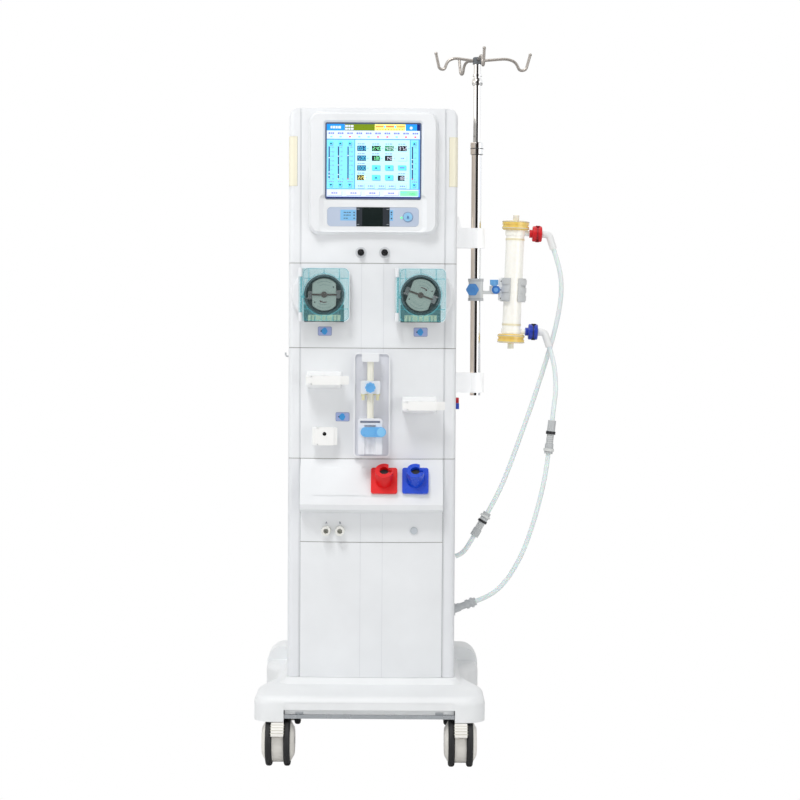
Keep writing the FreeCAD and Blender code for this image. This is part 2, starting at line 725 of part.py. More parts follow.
def front_ports():
    """The two black pressure jacks under the bezel."""
    jacks = []
    for x in (-JACK_X, JACK_X):
        start = FRONT_Y - BOW - JACK_PROUD
        body = rod((x, start, JACK_Z), (0, 1, 0), JACK_RADIUS - 1.2, JACK_PROUD + 12)
        shoulder = rod((x, start + 4, JACK_Z), (0, 1, 0), JACK_RADIUS, JACK_PROUD + 8)
        collar = rod((x, FRONT_Y + WALL - BOW + 0.8, JACK_Z), (0, 1, 0), JACK_RADIUS + 3, 4)
        jack = join(body, shoulder, collar)
        jacks.append(jack.cut(rod((x, start - 1, JACK_Z), (0, 1, 0), 3.2, 18)))
    return Part.makeCompound(jacks + concentrate_ports())


def concentrate_ports():
    """The two white concentrate nipples and the plug of the sample port."""
    made = []
    for x in CONCENTRATE_X:
        y = bow_y(x)
        nose = rod((x, y - 22, CONCENTRATE_Z), (0, 1, 0), CONCENTRATE_RADIUS, 22 + PORT_SEAT)
        waist = ring((x, y - 15, CONCENTRATE_Z), (0, 1, 0), CONCENTRATE_RADIUS + 1, CONCENTRATE_RADIUS - 1.8, 4)
        shank = rod((x, y, CONCENTRATE_Z), (0, 1, 0), CONCENTRATE_RADIUS - PORT_STEP, 24)
        port = join(nose.cut(waist), shank)
        made.append(port.cut(rod((x, y - 23, CONCENTRATE_Z), (0, 1, 0), 5.2, 16)))
    y = bow_y(PLUG_X)
    plug = rod((PLUG_X, y - 3, CONCENTRATE_Z), (0, 1, 0), PLUG_RADIUS, 3 + PORT_SEAT)
    made.append(join(plug, rod((PLUG_X, y, CONCENTRATE_Z), (0, 1, 0), PLUG_RADIUS - PORT_STEP, 20)))
    return made


def pump_panel():
    """The pump front: the wrapped panel with a moulded round boss behind each pump."""
    low = LEVEL_PUMPS + SEAM / 2
    high = LEVEL_MONITOR - SEAM / 2
    rear = FRONT_Y + WRAP_DEPTH
    body = column_profile(0, rear, low, high)
    for side in (-1, 1):
        x = side * BOSS_X
        boss = rod((x, HOUSING_BACK, PUMP_Z), (0, 1, 0), BOSS_RADIUS, 20)
        edge = [e for e in boss.Edges if e.BoundBox.YMax < HOUSING_BACK + 0.01]
        body = body.fuse(boss.makeFillet(5, edge))
    body = body.removeSplitter().cut(column_profile(WALL, rear + 1, low - 1, high + 1))
    for side in (-1, 1):
        body = body.cut(rod((side * PUMP_X, HOUSING_BACK - 1, PUMP_Z), (0, 1, 0), SHAFT_RADIUS + 2, 40))
    return remove(body, *strip_grooves(low, high))


def pump_housing(side):
    """One pump head: cavity, race liner, tube guides and the cover's hinge knuckles."""
    cx = side * PUMP_X
    front = HOUSING_BACK - HOUSING_DEPTH
    floor_y = HOUSING_BACK - HOUSING_FLOOR
    outline = rectangle(cx - HOUSING_HALF, cx + HOUSING_HALF, PUMP_Z - HOUSING_HALF_HEIGHT,
                        PUMP_Z + HOUSING_HALF_HEIGHT)
    body = front_prism(outline, [3, 12, 12, 3], front, HOUSING_BACK)
    body = body.cut(rod((cx, front - 1, PUMP_Z), (0, 1, 0), RACE_RADIUS, floor_y - front + 1))
    for hand in (-1, 1):
        x0, x1 = sorted((cx + hand * EXIT_INNER, cx + hand * EXIT_OUTER))
        body = body.cut(box(x0, x1, front - 1, floor_y, PUMP_Z - HOUSING_HALF_HEIGHT - 1, PUMP_Z))
        x0, x1 = sorted(cx + hand * x for x in GUIDE_POCKET)
        body = body.cut(box(x0, x1, front - 1, floor_y, PUMP_Z - GUIDE_FOOT, PUMP_Z - GUIDE_HEAD))
        for x, radius in GUIDE_POSTS:
            body = body.fuse(rod((cx + hand * x, front + radius + SEAT, PUMP_Z - GUIDE_FOOT - 0.8), (0, 0, 1),
                                 radius, GUIDE_FOOT - GUIDE_HEAD + 1.6))
    body = body.cut(rod((cx, floor_y - 1, PUMP_Z), (0, 1, 0), SHAFT_RADIUS + SHAFT_GAP, 10))
    axis_x = cover_axis(side)
    axis_y = cover_axis_y()
    for z0, z1 in ((-HOUSING_HALF_HEIGHT + 1.5, -37), (37, HOUSING_HALF_HEIGHT - 1.5)):
        ear = box(axis_x - 4, axis_x + 4, axis_y, front + 1, PUMP_Z + z0, PUMP_Z + z1)
        knuckle = rod((axis_x, axis_y, PUMP_Z + z0), (0, 0, 1), 4, z1 - z0)
        body = body.fuse(ear).fuse(knuckle)
    pin = rod((axis_x, axis_y, PUMP_Z - HOUSING_HALF_HEIGHT + 3), (0, 0, 1), HINGE_PIN,
              2 * HOUSING_HALF_HEIGHT - 6)
    body = body.fuse(pin).removeSplitter()
    liner = ring((cx, front + 0.5, PUMP_Z), (0, 1, 0), RACE_RADIUS - SEAT, RACE_RADIUS - RACE_WALL,
                 floor_y - front - 0.5 - SEAT)
    liner = liner.cut(box(cx - RACE_RADIUS, cx + RACE_RADIUS, front - 1, floor_y + 1, PUMP_Z - 50, PUMP_Z - 20))
    return Part.makeCompound([body, liner])


def cover_axis(side):
    return side * PUMP_X - HOUSING_HALF + 4


def cover_axis_y():
    return HOUSING_BACK - HOUSING_DEPTH - KNUCKLE - 0.4


def pump_cover(side):
    """The clear pump door: plate with embossed ring and ribs, hung on a vertical pin."""
    cx = side * PUMP_X
    axis_x = cover_axis(side)
    axis_y = cover_axis_y()
    back = HOUSING_BACK - HOUSING_DEPTH - SEAT - 0.1
    right = cx + HOUSING_HALF - 2
    half = HOUSING_HALF_HEIGHT - 2
    plate = front_prism(rectangle(axis_x, right, PUMP_Z - half, PUMP_Z + half), [0, 10, 10, 0],
                        back - COVER_THICK, back)
    for z0, z1 in ((-half - 1, -36.4), (36.4, half + 1)):
        plate = plate.cut(box(axis_x - 5, axis_x + 4.8, back - 9, back + 1, PUMP_Z + z0, PUMP_Z + z1))
    barrel = rod((axis_x, axis_y, PUMP_Z - 36.4), (0, 0, 1), KNUCKLE, 72.8)
    dome = rod((cx, back - COVER_THICK - 2, PUMP_Z), (0, 1, 0), RACE_RADIUS - 1, 3)
    well = rod((cx, back - COVER_THICK, PUMP_Z), (0, 1, 0), RACE_RADIUS - 4, COVER_THICK + 1)
    ribs = []
    face = back - COVER_THICK
    for z in (-20, 0, 20):
        for x0, x1 in ((axis_x + 5, cx - 34), (cx + 34, right - 4)):
            ribs.append(box(x0, x1, face - 1.2, face + 0.5, PUMP_Z + z - 1, PUMP_Z + z + 1))
    for x in (-30, -15, 0, 15, 30):
        ribs.append(box(cx + x - 1, cx + x + 1, face - 1.2, face + 0.5, PUMP_Z - half + 3, PUMP_Z - 38))
    latch = rod((right - 3, face - 2.5, PUMP_Z), (0, 1, 0), 3.5, 3)
    cover = join(plate, barrel, dome, latch, *ribs)
    cover = cover.cut(well)
    return cover.cut(rod((axis_x, axis_y, PUMP_Z - 60), (0, 0, 1), HINGE_PIN + SHAFT_GAP, 120))


def pump_rotor(side):
    """The roller head: shaft, two flatted plates with arms for the rollers, and the folded hand crank."""
    cx = side * PUMP_X
    front = HOUSING_BACK - HOUSING_DEPTH
    turn = 0.0 if side < 0 else 20.0
    plates = []
    for y in (front + 3.5, front + 16.2):
        disc = rod((cx, y, PUMP_Z), (0, 1, 0), ROTOR_RADIUS, ROTOR_PLATE)
        upright = box(cx - ROTOR_FLAT, cx + ROTOR_FLAT, y, y + ROTOR_PLATE,
                      PUMP_Z - ROTOR_RADIUS, PUMP_Z + ROTOR_RADIUS)
        arm = box(cx - ROTOR_RADIUS, cx + ROTOR_RADIUS, y, y + ROTOR_PLATE,
                  PUMP_Z - ROTOR_ARM, PUMP_Z + ROTOR_ARM)
        plates.append(disc.common(upright.fuse(arm)))
    shaft = rod((cx, front + 3.5, PUMP_Z), (0, 1, 0), SHAFT_RADIUS, 62)
    hub = rod((cx, front + 5, PUMP_Z), (0, 1, 0), 10, 12)
    pins = []
    rollers = []
    for hand in (-1, 1):
        x = cx + hand * ROLLER_ORBIT
        pins.append(rod((x, front + 2.6, PUMP_Z), (0, 1, 0), ROLLER_PIN, 15))
        rollers.append(ring((x, front + 6.7, PUMP_Z), (0, 1, 0), ROLLER_RADIUS, ROLLER_PIN + SHAFT_GAP, 9.3))
    guides = []
    for angle in (60, 120, 240, 300):
        x = cx + 22 * math.cos(math.radians(angle))
        z = PUMP_Z + 22 * math.sin(math.radians(angle))
        guides.append(rod((x, front + 4, z), (0, 1, 0), 2.2, 14))
    crank = front_prism(rectangle(cx - CRANK_LENGTH / 2, cx + CRANK_LENGTH / 2,
                                  PUMP_Z - CRANK_WIDTH / 2, PUMP_Z + CRANK_WIDTH / 2), 1.7, front + 0.8, front + 4)
    boss = rod((cx, front + 0.4, PUMP_Z), (0, 1, 0), 6, 4)
    head = join(shaft, hub, crank, boss, *plates, *pins, *guides)
    head = Part.makeCompound([head] + rollers)
    head.rotate(V(cx, 0, PUMP_Z), V(0, 1, 0), turn)
    return head


def internal_units():
    """The sealed units on the shelves: hydraulic block, power supply and the two pump motors."""
    inner_floor = RAIL_TOP + SEAT
    hydraulics = plan_prism(rectangle(-120, 120, FRONT_Y + 50, REAR_Y - 50), 8, inner_floor, inner_floor + 215)
    shelf = LEVEL_LOWER + 8 + SHELF
    supply = plan_prism(rectangle(-110, 60, FRONT_Y + 60, REAR_Y - 60), 4, shelf, shelf + 110)
    motors = []
    for side in (-1, 1):
        start = (side * PUMP_X, FRONT_Y + WALL + SEAT + 3, PUMP_Z)
        body = rod(start, (0, 1, 0), 28, 110)
        foot = box(side * PUMP_X - 24, side * PUMP_X + 24, start[1] + 10, start[1] + 90,
                   LEVEL_PUMPS + 6 + SHELF, PUMP_Z - 10)
        motor = body.fuse(foot).removeSplitter()
        motors.append(motor.cut(rod((start[0], start[1] - 1, PUMP_Z), (0, 1, 0), SHAFT_RADIUS + SHAFT_GAP, 40)))
    return Part.makeCompound([hydraulics, supply] + motors)


def module_panel():
    return wrap_panel(LEVEL_MODULES, LEVEL_PUMPS)


def detector_base(centre):
    """A tapered clamp body on the module front, with ears for its door and half of the tube slot."""
    cx, cz = centre
    left = cx - DETECTOR_HALF
    right = cx + DETECTOR_HALF
    split = FRONT_Y - DETECTOR_DEPTH
    back = (rectangle(left, right, cz - DETECTOR_BACK_HEIGHT / 2 - 1, cz + DETECTOR_BACK_HEIGHT / 2 + 1), 4)
    half_front = DETECTOR_FRONT_HEIGHT / 2
    front = (rectangle(left, right, cz - half_front, cz + half_front), 3)
    body = seated_on_front(front_loft(back, FRONT_Y + 1, front, split), cz - 60, cz + 60)
    return hinged_side(body, left, split, cz, half_front, cx)


def hinged_side(body, left, split, cz, half, slot_x):
    """Adds the two ears and the pin that carry a clamp door, and cuts half of its tube slot."""
    axis = (left + DOOR_THICK / 2, split - SEAT - DOOR_THICK / 2)
    for z0, z1 in ((cz - half, cz - half + EAR), (cz + half - EAR, cz + half)):
        ear = rod((axis[0], axis[1], z0), (0, 0, 1), DOOR_THICK / 2, z1 - z0)
        block = box(left, left + DOOR_THICK, axis[1], split + 1, z0, z1)
        body = body.fuse(ear).fuse(block)
    pin = rod((axis[0], axis[1], cz - half + 0.5), (0, 0, 1), HINGE_PIN, 2 * half - 1)
    body = body.fuse(pin).removeSplitter()
    return body.cut(rod((slot_x, split - SEAT / 2, cz - 60), (0, 0, 1), TUBE_SLOT, 120))


def clamp_door(left, right, split, cz, half, slot_x, tab):
    """A clamp door with a finger tab, hung between the ears of its base."""
    back = split - SEAT
    front = back - DOOR_THICK
    axis = (left + DOOR_THICK / 2, back - DOOR_THICK / 2)
    radius = DOOR_THICK / 2
    body = front_prism(rectangle(axis[0], right, cz - half, cz + half), [0, 3, 3, 0], front, back)
    body = body.fuse(rod((axis[0], axis[1], cz - half), (0, 0, 1), radius, 2 * half))
    body = body.fuse(front_prism(rectangle(right - 2, right + tab, cz - half + 0.6, cz + half - 0.6),
                                 2, back - 7, back - 1))
    body = body.removeSplitter()
    for z0, z1 in ((cz - half - 1, cz - half + EAR + SEAT), (cz + half - EAR - SEAT, cz + half + 1)):
        body = body.cut(box(left - 1, left + DOOR_THICK + 1.2, front - 1, back + 1, z0, z1))
    body = body.cut(rod((axis[0], axis[1], cz - 60), (0, 0, 1), HINGE_PIN + SHAFT_GAP, 120))
    return body.cut(rod((slot_x, split - SEAT / 2, cz - 60), (0, 0, 1), TUBE_SLOT, 120))


def detector_door(centre):
    cx, cz = centre
    return clamp_door(cx - DETECTOR_HALF, cx + DETECTOR_HALF, FRONT_Y - DETECTOR_DEPTH, cz,
                      DETECTOR_FRONT_HEIGHT / 2, cx, DOOR_TAB)


def sensor_base():
    """The small clamp with the optical sensor."""
    cx, cz = SENSOR_CENTRE
    split = FRONT_Y - SENSOR_DEPTH
    half = SENSOR_HEIGHT / 2
    body = front_prism(rectangle(cx - SENSOR_HALF, cx + SENSOR_HALF, cz - half, cz + half), 6,
                       split, FRONT_Y + 1)
    body = seated_on_front(body, cz - 60, cz + 60)
    return hinged_side(body, cx - SENSOR_HALF, split, cz, half, cx + 3)


def sensor_door():
    cx, cz = SENSOR_CENTRE
    half = SENSOR_HEIGHT / 2
    split = FRONT_Y - SENSOR_DEPTH
    door = clamp_door(cx - SENSOR_HALF, cx + SENSOR_HALF, split, cz, half, cx + 3, 7)
    return door.cut(rod((cx + 3, split - 20, cz + 5), (0, 1, 0), 3.5, 11))


def detector_bases():
    return Part.makeCompound([detector_base(AIR_DETECTOR), detector_base(BLOOD_DETECTOR), sensor_base()])


def heparin_plate():
    """The syringe pump's face plate with a raised rim, its top block and the guide rod."""
    outline = rectangle(-PLATE_HALF, PLATE_HALF, PLATE_BOTTOM, PLATE_TOP)
    plate = front_prism(outline, 9, PLATE_FRONT, FRONT_Y)
    inner = rectangle(-PLATE_HALF + 4, PLATE_HALF - 4, PLATE_BOTTOM + 4, PLATE_TOP - 4)
    plate = plate.cut(front_prism(inner, 6, PLATE_FRONT - 1, PLATE_FRONT + 2))
    cap = front_prism(rectangle(SYRINGE_X - CAP_HALF, SYRINGE_X + CAP_HALF, CAP_BOTTOM, PLATE_TOP - 1), 3,
                      ROD_Y - 12, PLATE_FRONT + 4)
    plate = seated_on_front(join(plate, cap), PLATE_BOTTOM - 5, PLATE_TOP + 5)
    plate = plate.cut(rod((SYRINGE_X, ROD_Y, CAP_BOTTOM - 1), (0, 0, 1), ROD_RADIUS + SLIDE_GAP, 6))
    guide = rod((SYRINGE_X, ROD_Y, CRADLE_TOP - 3), (0, 0, 1), ROD_RADIUS, CAP_BOTTOM + 4 - CRADLE_TOP + 3)
    return Part.makeCompound([plate, guide])


def plunger_carriage():
    """The plunger driver that slides on the guide rod, with two hooks for the plunger flange."""
    z0, z1 = CARRIAGE_BOTTOM, CARRIAGE_TOP
    block = front_prism(rectangle(SYRINGE_X - CARRIAGE_HALF, SYRINGE_X + CARRIAGE_HALF, z0, z1), 3,
                        ROD_Y - 13, ROD_Y + 13)
    hooks = []
    for hand in (-1, 1):
        x = SYRINGE_X + hand * (CARRIAGE_HALF - 5)
        hook = side_prism([(ROD_Y - 12, z0 - 13), (ROD_Y - 5, z0 - 13), (ROD_Y - 5, z0 - 9),
                           (ROD_Y - 8, z0 - 9), (ROD_Y - 8, z0 + 1), (ROD_Y - 12, z0 + 1)], 0, x - 3, x + 3)
        hooks.append(hook)
    body = join(block, *hooks)
    body = body.cut(rod((SYRINGE_X, ROD_Y, z0 - 20), (0, 0, 1), ROD_RADIUS + SLIDE_GAP, 60))
    return body.cut(rod((SYRINGE_X, ROD_Y - 14, knob_z()), (0, 1, 0), 3 + SHAFT_GAP, 6))


def knob_z():
    return (CARRIAGE_BOTTOM + CARRIAGE_TOP) / 2


def carriage_knob():
    """The round release knob on the carriage, dished in front, with finger scallops."""
    y = ROD_Y - 13 - SEAT
    z = knob_z()
    knob = rod((SYRINGE_X, y - 12, z), (0, 1, 0), 10.5, 12)
    dish = rod((SYRINGE_X, y - 13, z), (0, 1, 0), 6.5, 3)
    stem = rod((SYRINGE_X, y - 1, z), (0, 1, 0), 3, 6)
    scallops = []
    for i in range(8):
        angle = math.radians(45 * i + 22.5)
        scallops.append(rod((SYRINGE_X + 12.2 * math.cos(angle), y - 13, z + 12.2 * math.sin(angle)),
                            (0, 1, 0), 2.8, 14))
    return join(remove(knob, dish, *scallops), stem)


def syringe_cradle():
    """The barrel holder: a block with a round channel, a slot for the flange and the lever's boss."""
    x0, x1 = SYRINGE_X - CRADLE_HALF, SYRINGE_X + CRADLE_HALF
    back = PLATE_FRONT + 2
    block = front_prism(rectangle(x0, x1, CRADLE_BOTTOM, CRADLE_TOP), [3, 3, 5, 5], CRADLE_FRONT, back)
    boss = rod((LEVER_PIVOT_X, CRADLE_FRONT, LEVER_Z), (0, 1, 0), LEVER_RADIUS - 1, back - CRADLE_FRONT)
    body = join(block, boss)
    body = body.cut(rod((SYRINGE_X, CRADLE_FRONT - 3, CRADLE_BOTTOM - 1), (0, 0, 1), 12, CRADLE_TOP - CRADLE_BOTTOM - 12))
    body = body.cut(box(x0 + 4, x1 - 4, CRADLE_FRONT - 1, CRADLE_FRONT + 12, CRADLE_TOP - 9, CRADLE_TOP - 4.5))
    body = body.cut(rod((SYRINGE_X, ROD_Y, CRADLE_TOP - 3.2), (0, 0, 1), ROD_RADIUS + SLIDE_GAP, 6))
    return body.cut(rod((LEVER_PIVOT_X, CRADLE_FRONT - 1, LEVER_Z), (0, 1, 0), 3 + SHAFT_GAP, 13))


def syringe_lever():
    """The blue barrel clamp: a capsule bar that turns about its round right end."""
    y = CRADLE_FRONT - SEAT
    r = LEVER_RADIUS
    left = LEVER_PIVOT_X - LEVER_LENGTH
    bar = front_prism(rectangle(left - r, LEVER_PIVOT_X, LEVER_Z - r, LEVER_Z + r), [r - 0.01, 0, 0, r - 0.01], y - 8, y)
    head = rod((LEVER_PIVOT_X, y - 11, LEVER_Z), (0, 1, 0), r, 11)
    stem = rod((LEVER_PIVOT_X, y - 1, LEVER_Z), (0, 1, 0), 3, 11)
    return join(bar, head, stem)


def ledge_body(inset, proud_extra=0.0):
    """The rinse panel as a block: sloping bowed face, ledge, undercut and the flat below it."""
    half = PANEL_HALF - SEAT - inset
    lift = inset * 0.7
    levels = [(LEVEL_LOWER + SEAM / 2, 0.0), (LEDGE_ROOT + lift, 0.0),
              (LEDGE_BOTTOM + lift, LEDGE_PROUD - LEDGE_LIP), (LEDGE_TOP, LEDGE_PROUD),
              (LEVEL_MODULES - SEAM / 2, 0.0)]
    blocks = []
    for (z0, out0), (z1, out1) in zip(levels, levels[1:]):
        rings = [bow_outline(half, z, inset, out + proud_extra) for z, out in ((z0, out0), (z1, out1))]
        blocks.append(Part.makeLoft(rings, True, True))
    return join(*blocks)


def stepped_hole(x, radius):
    """The hole for a port of the lower front: a shallow seat and a narrower way through."""
    y = bow_y(x)
    seat = rod((x, y - 4, CONCENTRATE_Z), (0, 1, 0), radius + SEAT, 4 + PORT_SEAT + SEAT)
    through = rod((x, y - 4, CONCENTRATE_Z), (0, 1, 0), radius - PORT_STEP + SEAT, 30)
    return seat.fuse(through)


def rinse_panel():
    """The moulding with the rinse ledge; its flat lower part carries the concentrate ports."""
    body = ledge_body(0)
    plate = front_prism(rectangle(*RINSE_PLATE), 8, FRONT_Y - 60, FRONT_Y + WALL)
    body = body.fuse(ledge_body(0, PLATE_PROUD).common(plate)).removeSplitter()
    body = body.cut(ledge_body(WALL))
    for x in CONCENTRATE_X:
        body = body.cut(stepped_hole(x, CONCENTRATE_RADIUS))
    body = body.cut(stepped_hole(PLUG_X, PLUG_RADIUS))
    return remove(body, *strip_grooves(LEVEL_LOWER, LEDGE_ROOT - 1))


def rinse_port(x):
    """A rinse socket: a square foot on the sloping face and a short tube tilted up."""
    slope = math.degrees(math.atan2(LEDGE_PROUD, LEVEL_MODULES - LEDGE_TOP))
    out = LEDGE_PROUD * (LEVEL_MODULES - RINSE_Z) / (LEVEL_MODULES - LEDGE_TOP)
    seat_y = bow_y(x) - out
    foot = front_prism(rectangle(x - RINSE_BASE, x + RINSE_BASE, RINSE_Z - RINSE_BASE, RINSE_Z + RINSE_BASE),
                       5, seat_y - 9, seat_y + 14)
    foot.rotate(V(x, seat_y, RINSE_Z), V(1, 0, 0), slope * -1)
    tilt = math.radians(RINSE_TILT)
    along = (0, -math.cos(tilt), math.sin(tilt))
    start = (x, seat_y + 8, RINSE_Z - 8)
    tube = rod(start, along, RINSE_RADIUS, RINSE_LENGTH)
    body = join(foot, tube)
    body = body.cut(ledge_body(0, PLATE_PROUD + 0.2))
    mouth = tuple(s + a * (RINSE_LENGTH + 1) for s, a in zip(start, along))
    inward = tuple(-a for a in along)
    body = body.cut(rod(mouth, inward, RINSE_BORE, RINSE_DEPTH + 1))
    floor = V(*(s + a * (RINSE_LENGTH - RINSE_DEPTH) for s, a in zip(start, along)))
    body = body.cut(Part.makeCone(RINSE_BORE, RINSE_BORE / 4, RINSE_TIP, floor, V(*inward)))
    notch = box(x + 9, x + 16, mouth[1] - 12, mouth[1] + 24, mouth[2] - 5, mouth[2] + 20)
    return body.cut(notch)


def rinse_ports():
    return Part.makeCompound([rinse_port(x) for x in RINSE_X])


def front_lower_cover():
    """The plain lower front, a bowed shell with flanges that sit on the posts."""
    low = COLUMN_FOOT + SEAT
    high = LEVEL_LOWER - SEAM / 2
    half = PANEL_HALF - SEAT
    body = Part.Face(bow_outline(half, low, 0)).extrude(V(0, 0, high - low))
    inner = Part.Face(bow_outline(half - WALL, low - 2, WALL)).extrude(V(0, 0, high - low + 4))
    return remove(body.cut(inner), *strip_grooves(low, high))


def pole_brackets():
    """Two moulded brackets on the right side; the upper one has a gusset."""
    side = COLUMN_HALF_WIDTH + SEAT
    made = []
    for z0, z1 in BRACKET_LEVELS:
        arm = box(side, POLE_X, POLE_Y - 16, POLE_Y + 16, z0, z1)
        sleeve = rod((POLE_X, POLE_Y, z0), (0, 0, 1), BRACKET_RADIUS, z1 - z0)
        body = arm.fuse(sleeve)
        if z0 > BRACKET_LEVELS[0][0]:
            gusset = front_prism([(side, z1 - 1), (side + 13, z1 - 1), (side + 6, z1 + 25), (side, z1 + 25)],
                                 0, POLE_Y - 5, POLE_Y + 5)
            body = body.fuse(gusset)
        body = body.removeSplitter()
        made.append(body.cut(rod((POLE_X, POLE_Y, z0 - 1), (0, 0, 1), POLE_RADIUS + SLIDE_GAP, z1 - z0 + 2)))
    return Part.makeCompound(made)


def pole_tube():
    """The fixed outer tube with its top collar."""
    length = POLE_COLLAR_TOP - POLE_FOOT
    tube = rod((POLE_X, POLE_Y, POLE_FOOT), (0, 0, 1), POLE_RADIUS, length)
    collar = rod((POLE_X, POLE_Y, COLLAR_FOOT), (0, 0, 1), POLE_RADIUS + 2.5, POLE_COLLAR_TOP - COLLAR_FOOT)
    edges = [e for e in collar.Edges if abs(e.BoundBox.ZMin - e.BoundBox.ZMax) < 1e-6]
    collar = collar.makeFillet(2, edges)
    body = join(tube, collar)
    return body.cut(rod((POLE_X, POLE_Y, POLE_FOOT + 4), (0, 0, 1), POLE_BORE, length))


def pole_rod():
    """The sliding upper rod with its ball-shaped stop and the spigot for the hooks."""
    foot = POLE_FOOT + ROD_LIFT
    body = rod((POLE_X, POLE_Y, foot), (0, 0, 1), ROD_POLE_RADIUS, HOOK_HUB - foot)
    stop_z = HOOK_HUB - STOP_DROP
    stop = Part.makeSphere(12, V(POLE_X, POLE_Y, stop_z)).common(
        rod((POLE_X, POLE_Y, stop_z - 7), (0, 0, 1), 14, 15))
    flange = rod((POLE_X, POLE_Y, HOOK_HUB - FLANGE_DROP), (0, 0, 1), 10, 4)
    spigot = rod((POLE_X, POLE_Y, HOOK_HUB - 2), (0, 0, 1), 5, 14)
    return join(body, stop, flange, spigot)


def pole_hooks():
    """The turning head with four wire hooks for bags."""
    hub = rod((POLE_X, POLE_Y, HOOK_HUB + SEAT), (0, 0, 1), 10, 15)
    edges = [e for e in hub.Edges if e.BoundBox.ZMin > HOOK_HUB + 14]
    hub = hub.makeFillet(3, edges)
    hub = hub.cut(rod((POLE_X, POLE_Y, HOOK_HUB - 1), (0, 0, 1), 5 + SHAFT_GAP, 14))
    hooks = []
    for angle, reach in HOOKS:
        profile = [(7, HOOK_HUB + 8)] + [(reach * share, HOOK_HUB + rise) for share, rise in HOOK_BEND]
        turn = math.radians(angle)
        points = [(POLE_X + r * math.cos(turn), POLE_Y + r * math.sin(turn), z) for r, z in profile]
        wire = tube_along(points, HOOK_WIRE)
        hooks.append(wire.fuse(Part.makeSphere(HOOK_WIRE + 0.6, V(*points[-1]))))
    return join(hub, *hooks)


def holder_clamp():
    """The block that slides on the pole, with its arm and the lower disc of the swivel."""
    z0, z1 = HOLDER_Z - CLAMP_HEIGHT / 2, HOLDER_Z + CLAMP_HEIGHT / 2
    block = plan_prism(rectangle(POLE_X - 15, POLE_X + 15, POLE_Y - 16, POLE_Y + 16), 6, z0 + 5, z1 - 5)
    bands = [plan_prism(rectangle(POLE_X - 16, POLE_X + 16, POLE_Y - 17, POLE_Y + 17), 7, a, b)
             for a, b in ((z0, z0 + 6), (z1 - 6, z1))]
    arm = box(POLE_X + 14, SWIVEL_X - 2, POLE_Y - 7, POLE_Y + 7, HOLDER_Z - 9, HOLDER_Z - 2)
    disc = rod((SWIVEL_X, POLE_Y, HOLDER_Z - 9), (0, 0, 1), 10, 7)
    body = join(block, arm, disc, *bands)
    body = body.cut(rod((POLE_X, POLE_Y, z0 - 1), (0, 0, 1), POLE_RADIUS + SLIDE_GAP, CLAMP_HEIGHT + 2))
    body = body.cut(rod((SWIVEL_X, POLE_Y, HOLDER_Z - 12), (0, 0, 1), 3 + SHAFT_GAP, 12))
    return body.cut(rod((POLE_X - 8, POLE_Y - 18, HOLDER_Z), (0, 1, 0), 3 + SHAFT_GAP, 7))


def clamp_knob():
    """The hexagonal clamping knob in front of the block."""
    y = POLE_Y - 16 - SEAT
    x = POLE_X - 8
    corners = [(x + 14 * math.cos(math.radians(60 * i)), HOLDER_Z + 14 * math.sin(math.radians(60 * i)))
               for i in range(6)]
    head = front_prism(corners, 4, y - 13, y - 3)
    neck = rod((x, y - 4, HOLDER_Z), (0, 1, 0), 8, 4)
    stem = rod((x, y - 1, HOLDER_Z), (0, 1, 0), 3, 6)
    dimple = rod((x, y - 14, HOLDER_Z), (0, 1, 0), 5, 2.5)
    return join(head.cut(dimple), neck, stem)


def jaw_sector(start, end, z0, z1, inner, outer):
    """A stretch of round jaw, seen in plan, from one angle to another."""
    def at(radius, angle):
        turn = math.radians(angle)
        return V(DIALYSER_X + radius * math.cos(turn), POLE_Y + radius * math.sin(turn), z0)
    middle = (start + end) / 2
    edges = [Part.Arc(at(outer, start), at(outer, middle), at(outer, end)).toShape(),
             Part.LineSegment(at(outer, end), at(inner, end)).toShape(),
             Part.Arc(at(inner, end), at(inner, middle), at(inner, start)).toShape(),
             Part.LineSegment(at(inner, start), at(outer, start)).toShape()]
    return Part.Face(Part.Wire(edges)).extrude(V(0, 0, z1 - z0))


def jaw_ribs(start, end, z0, z1):
    """Three raised grip ribs round the outside of a jaw."""
    inner = JAW_RADIUS - 1
    outer = JAW_RADIUS + 1.5
    step = (z1 - z0) / 3
    return [jaw_sector(start, end, z0 + step * i + 3, z0 + step * (i + 1) - 3, inner, outer) for i in range(3)]


def jaw_pivot():
    return (DIALYSER_X, POLE_Y + JAW_RADIUS + 1)


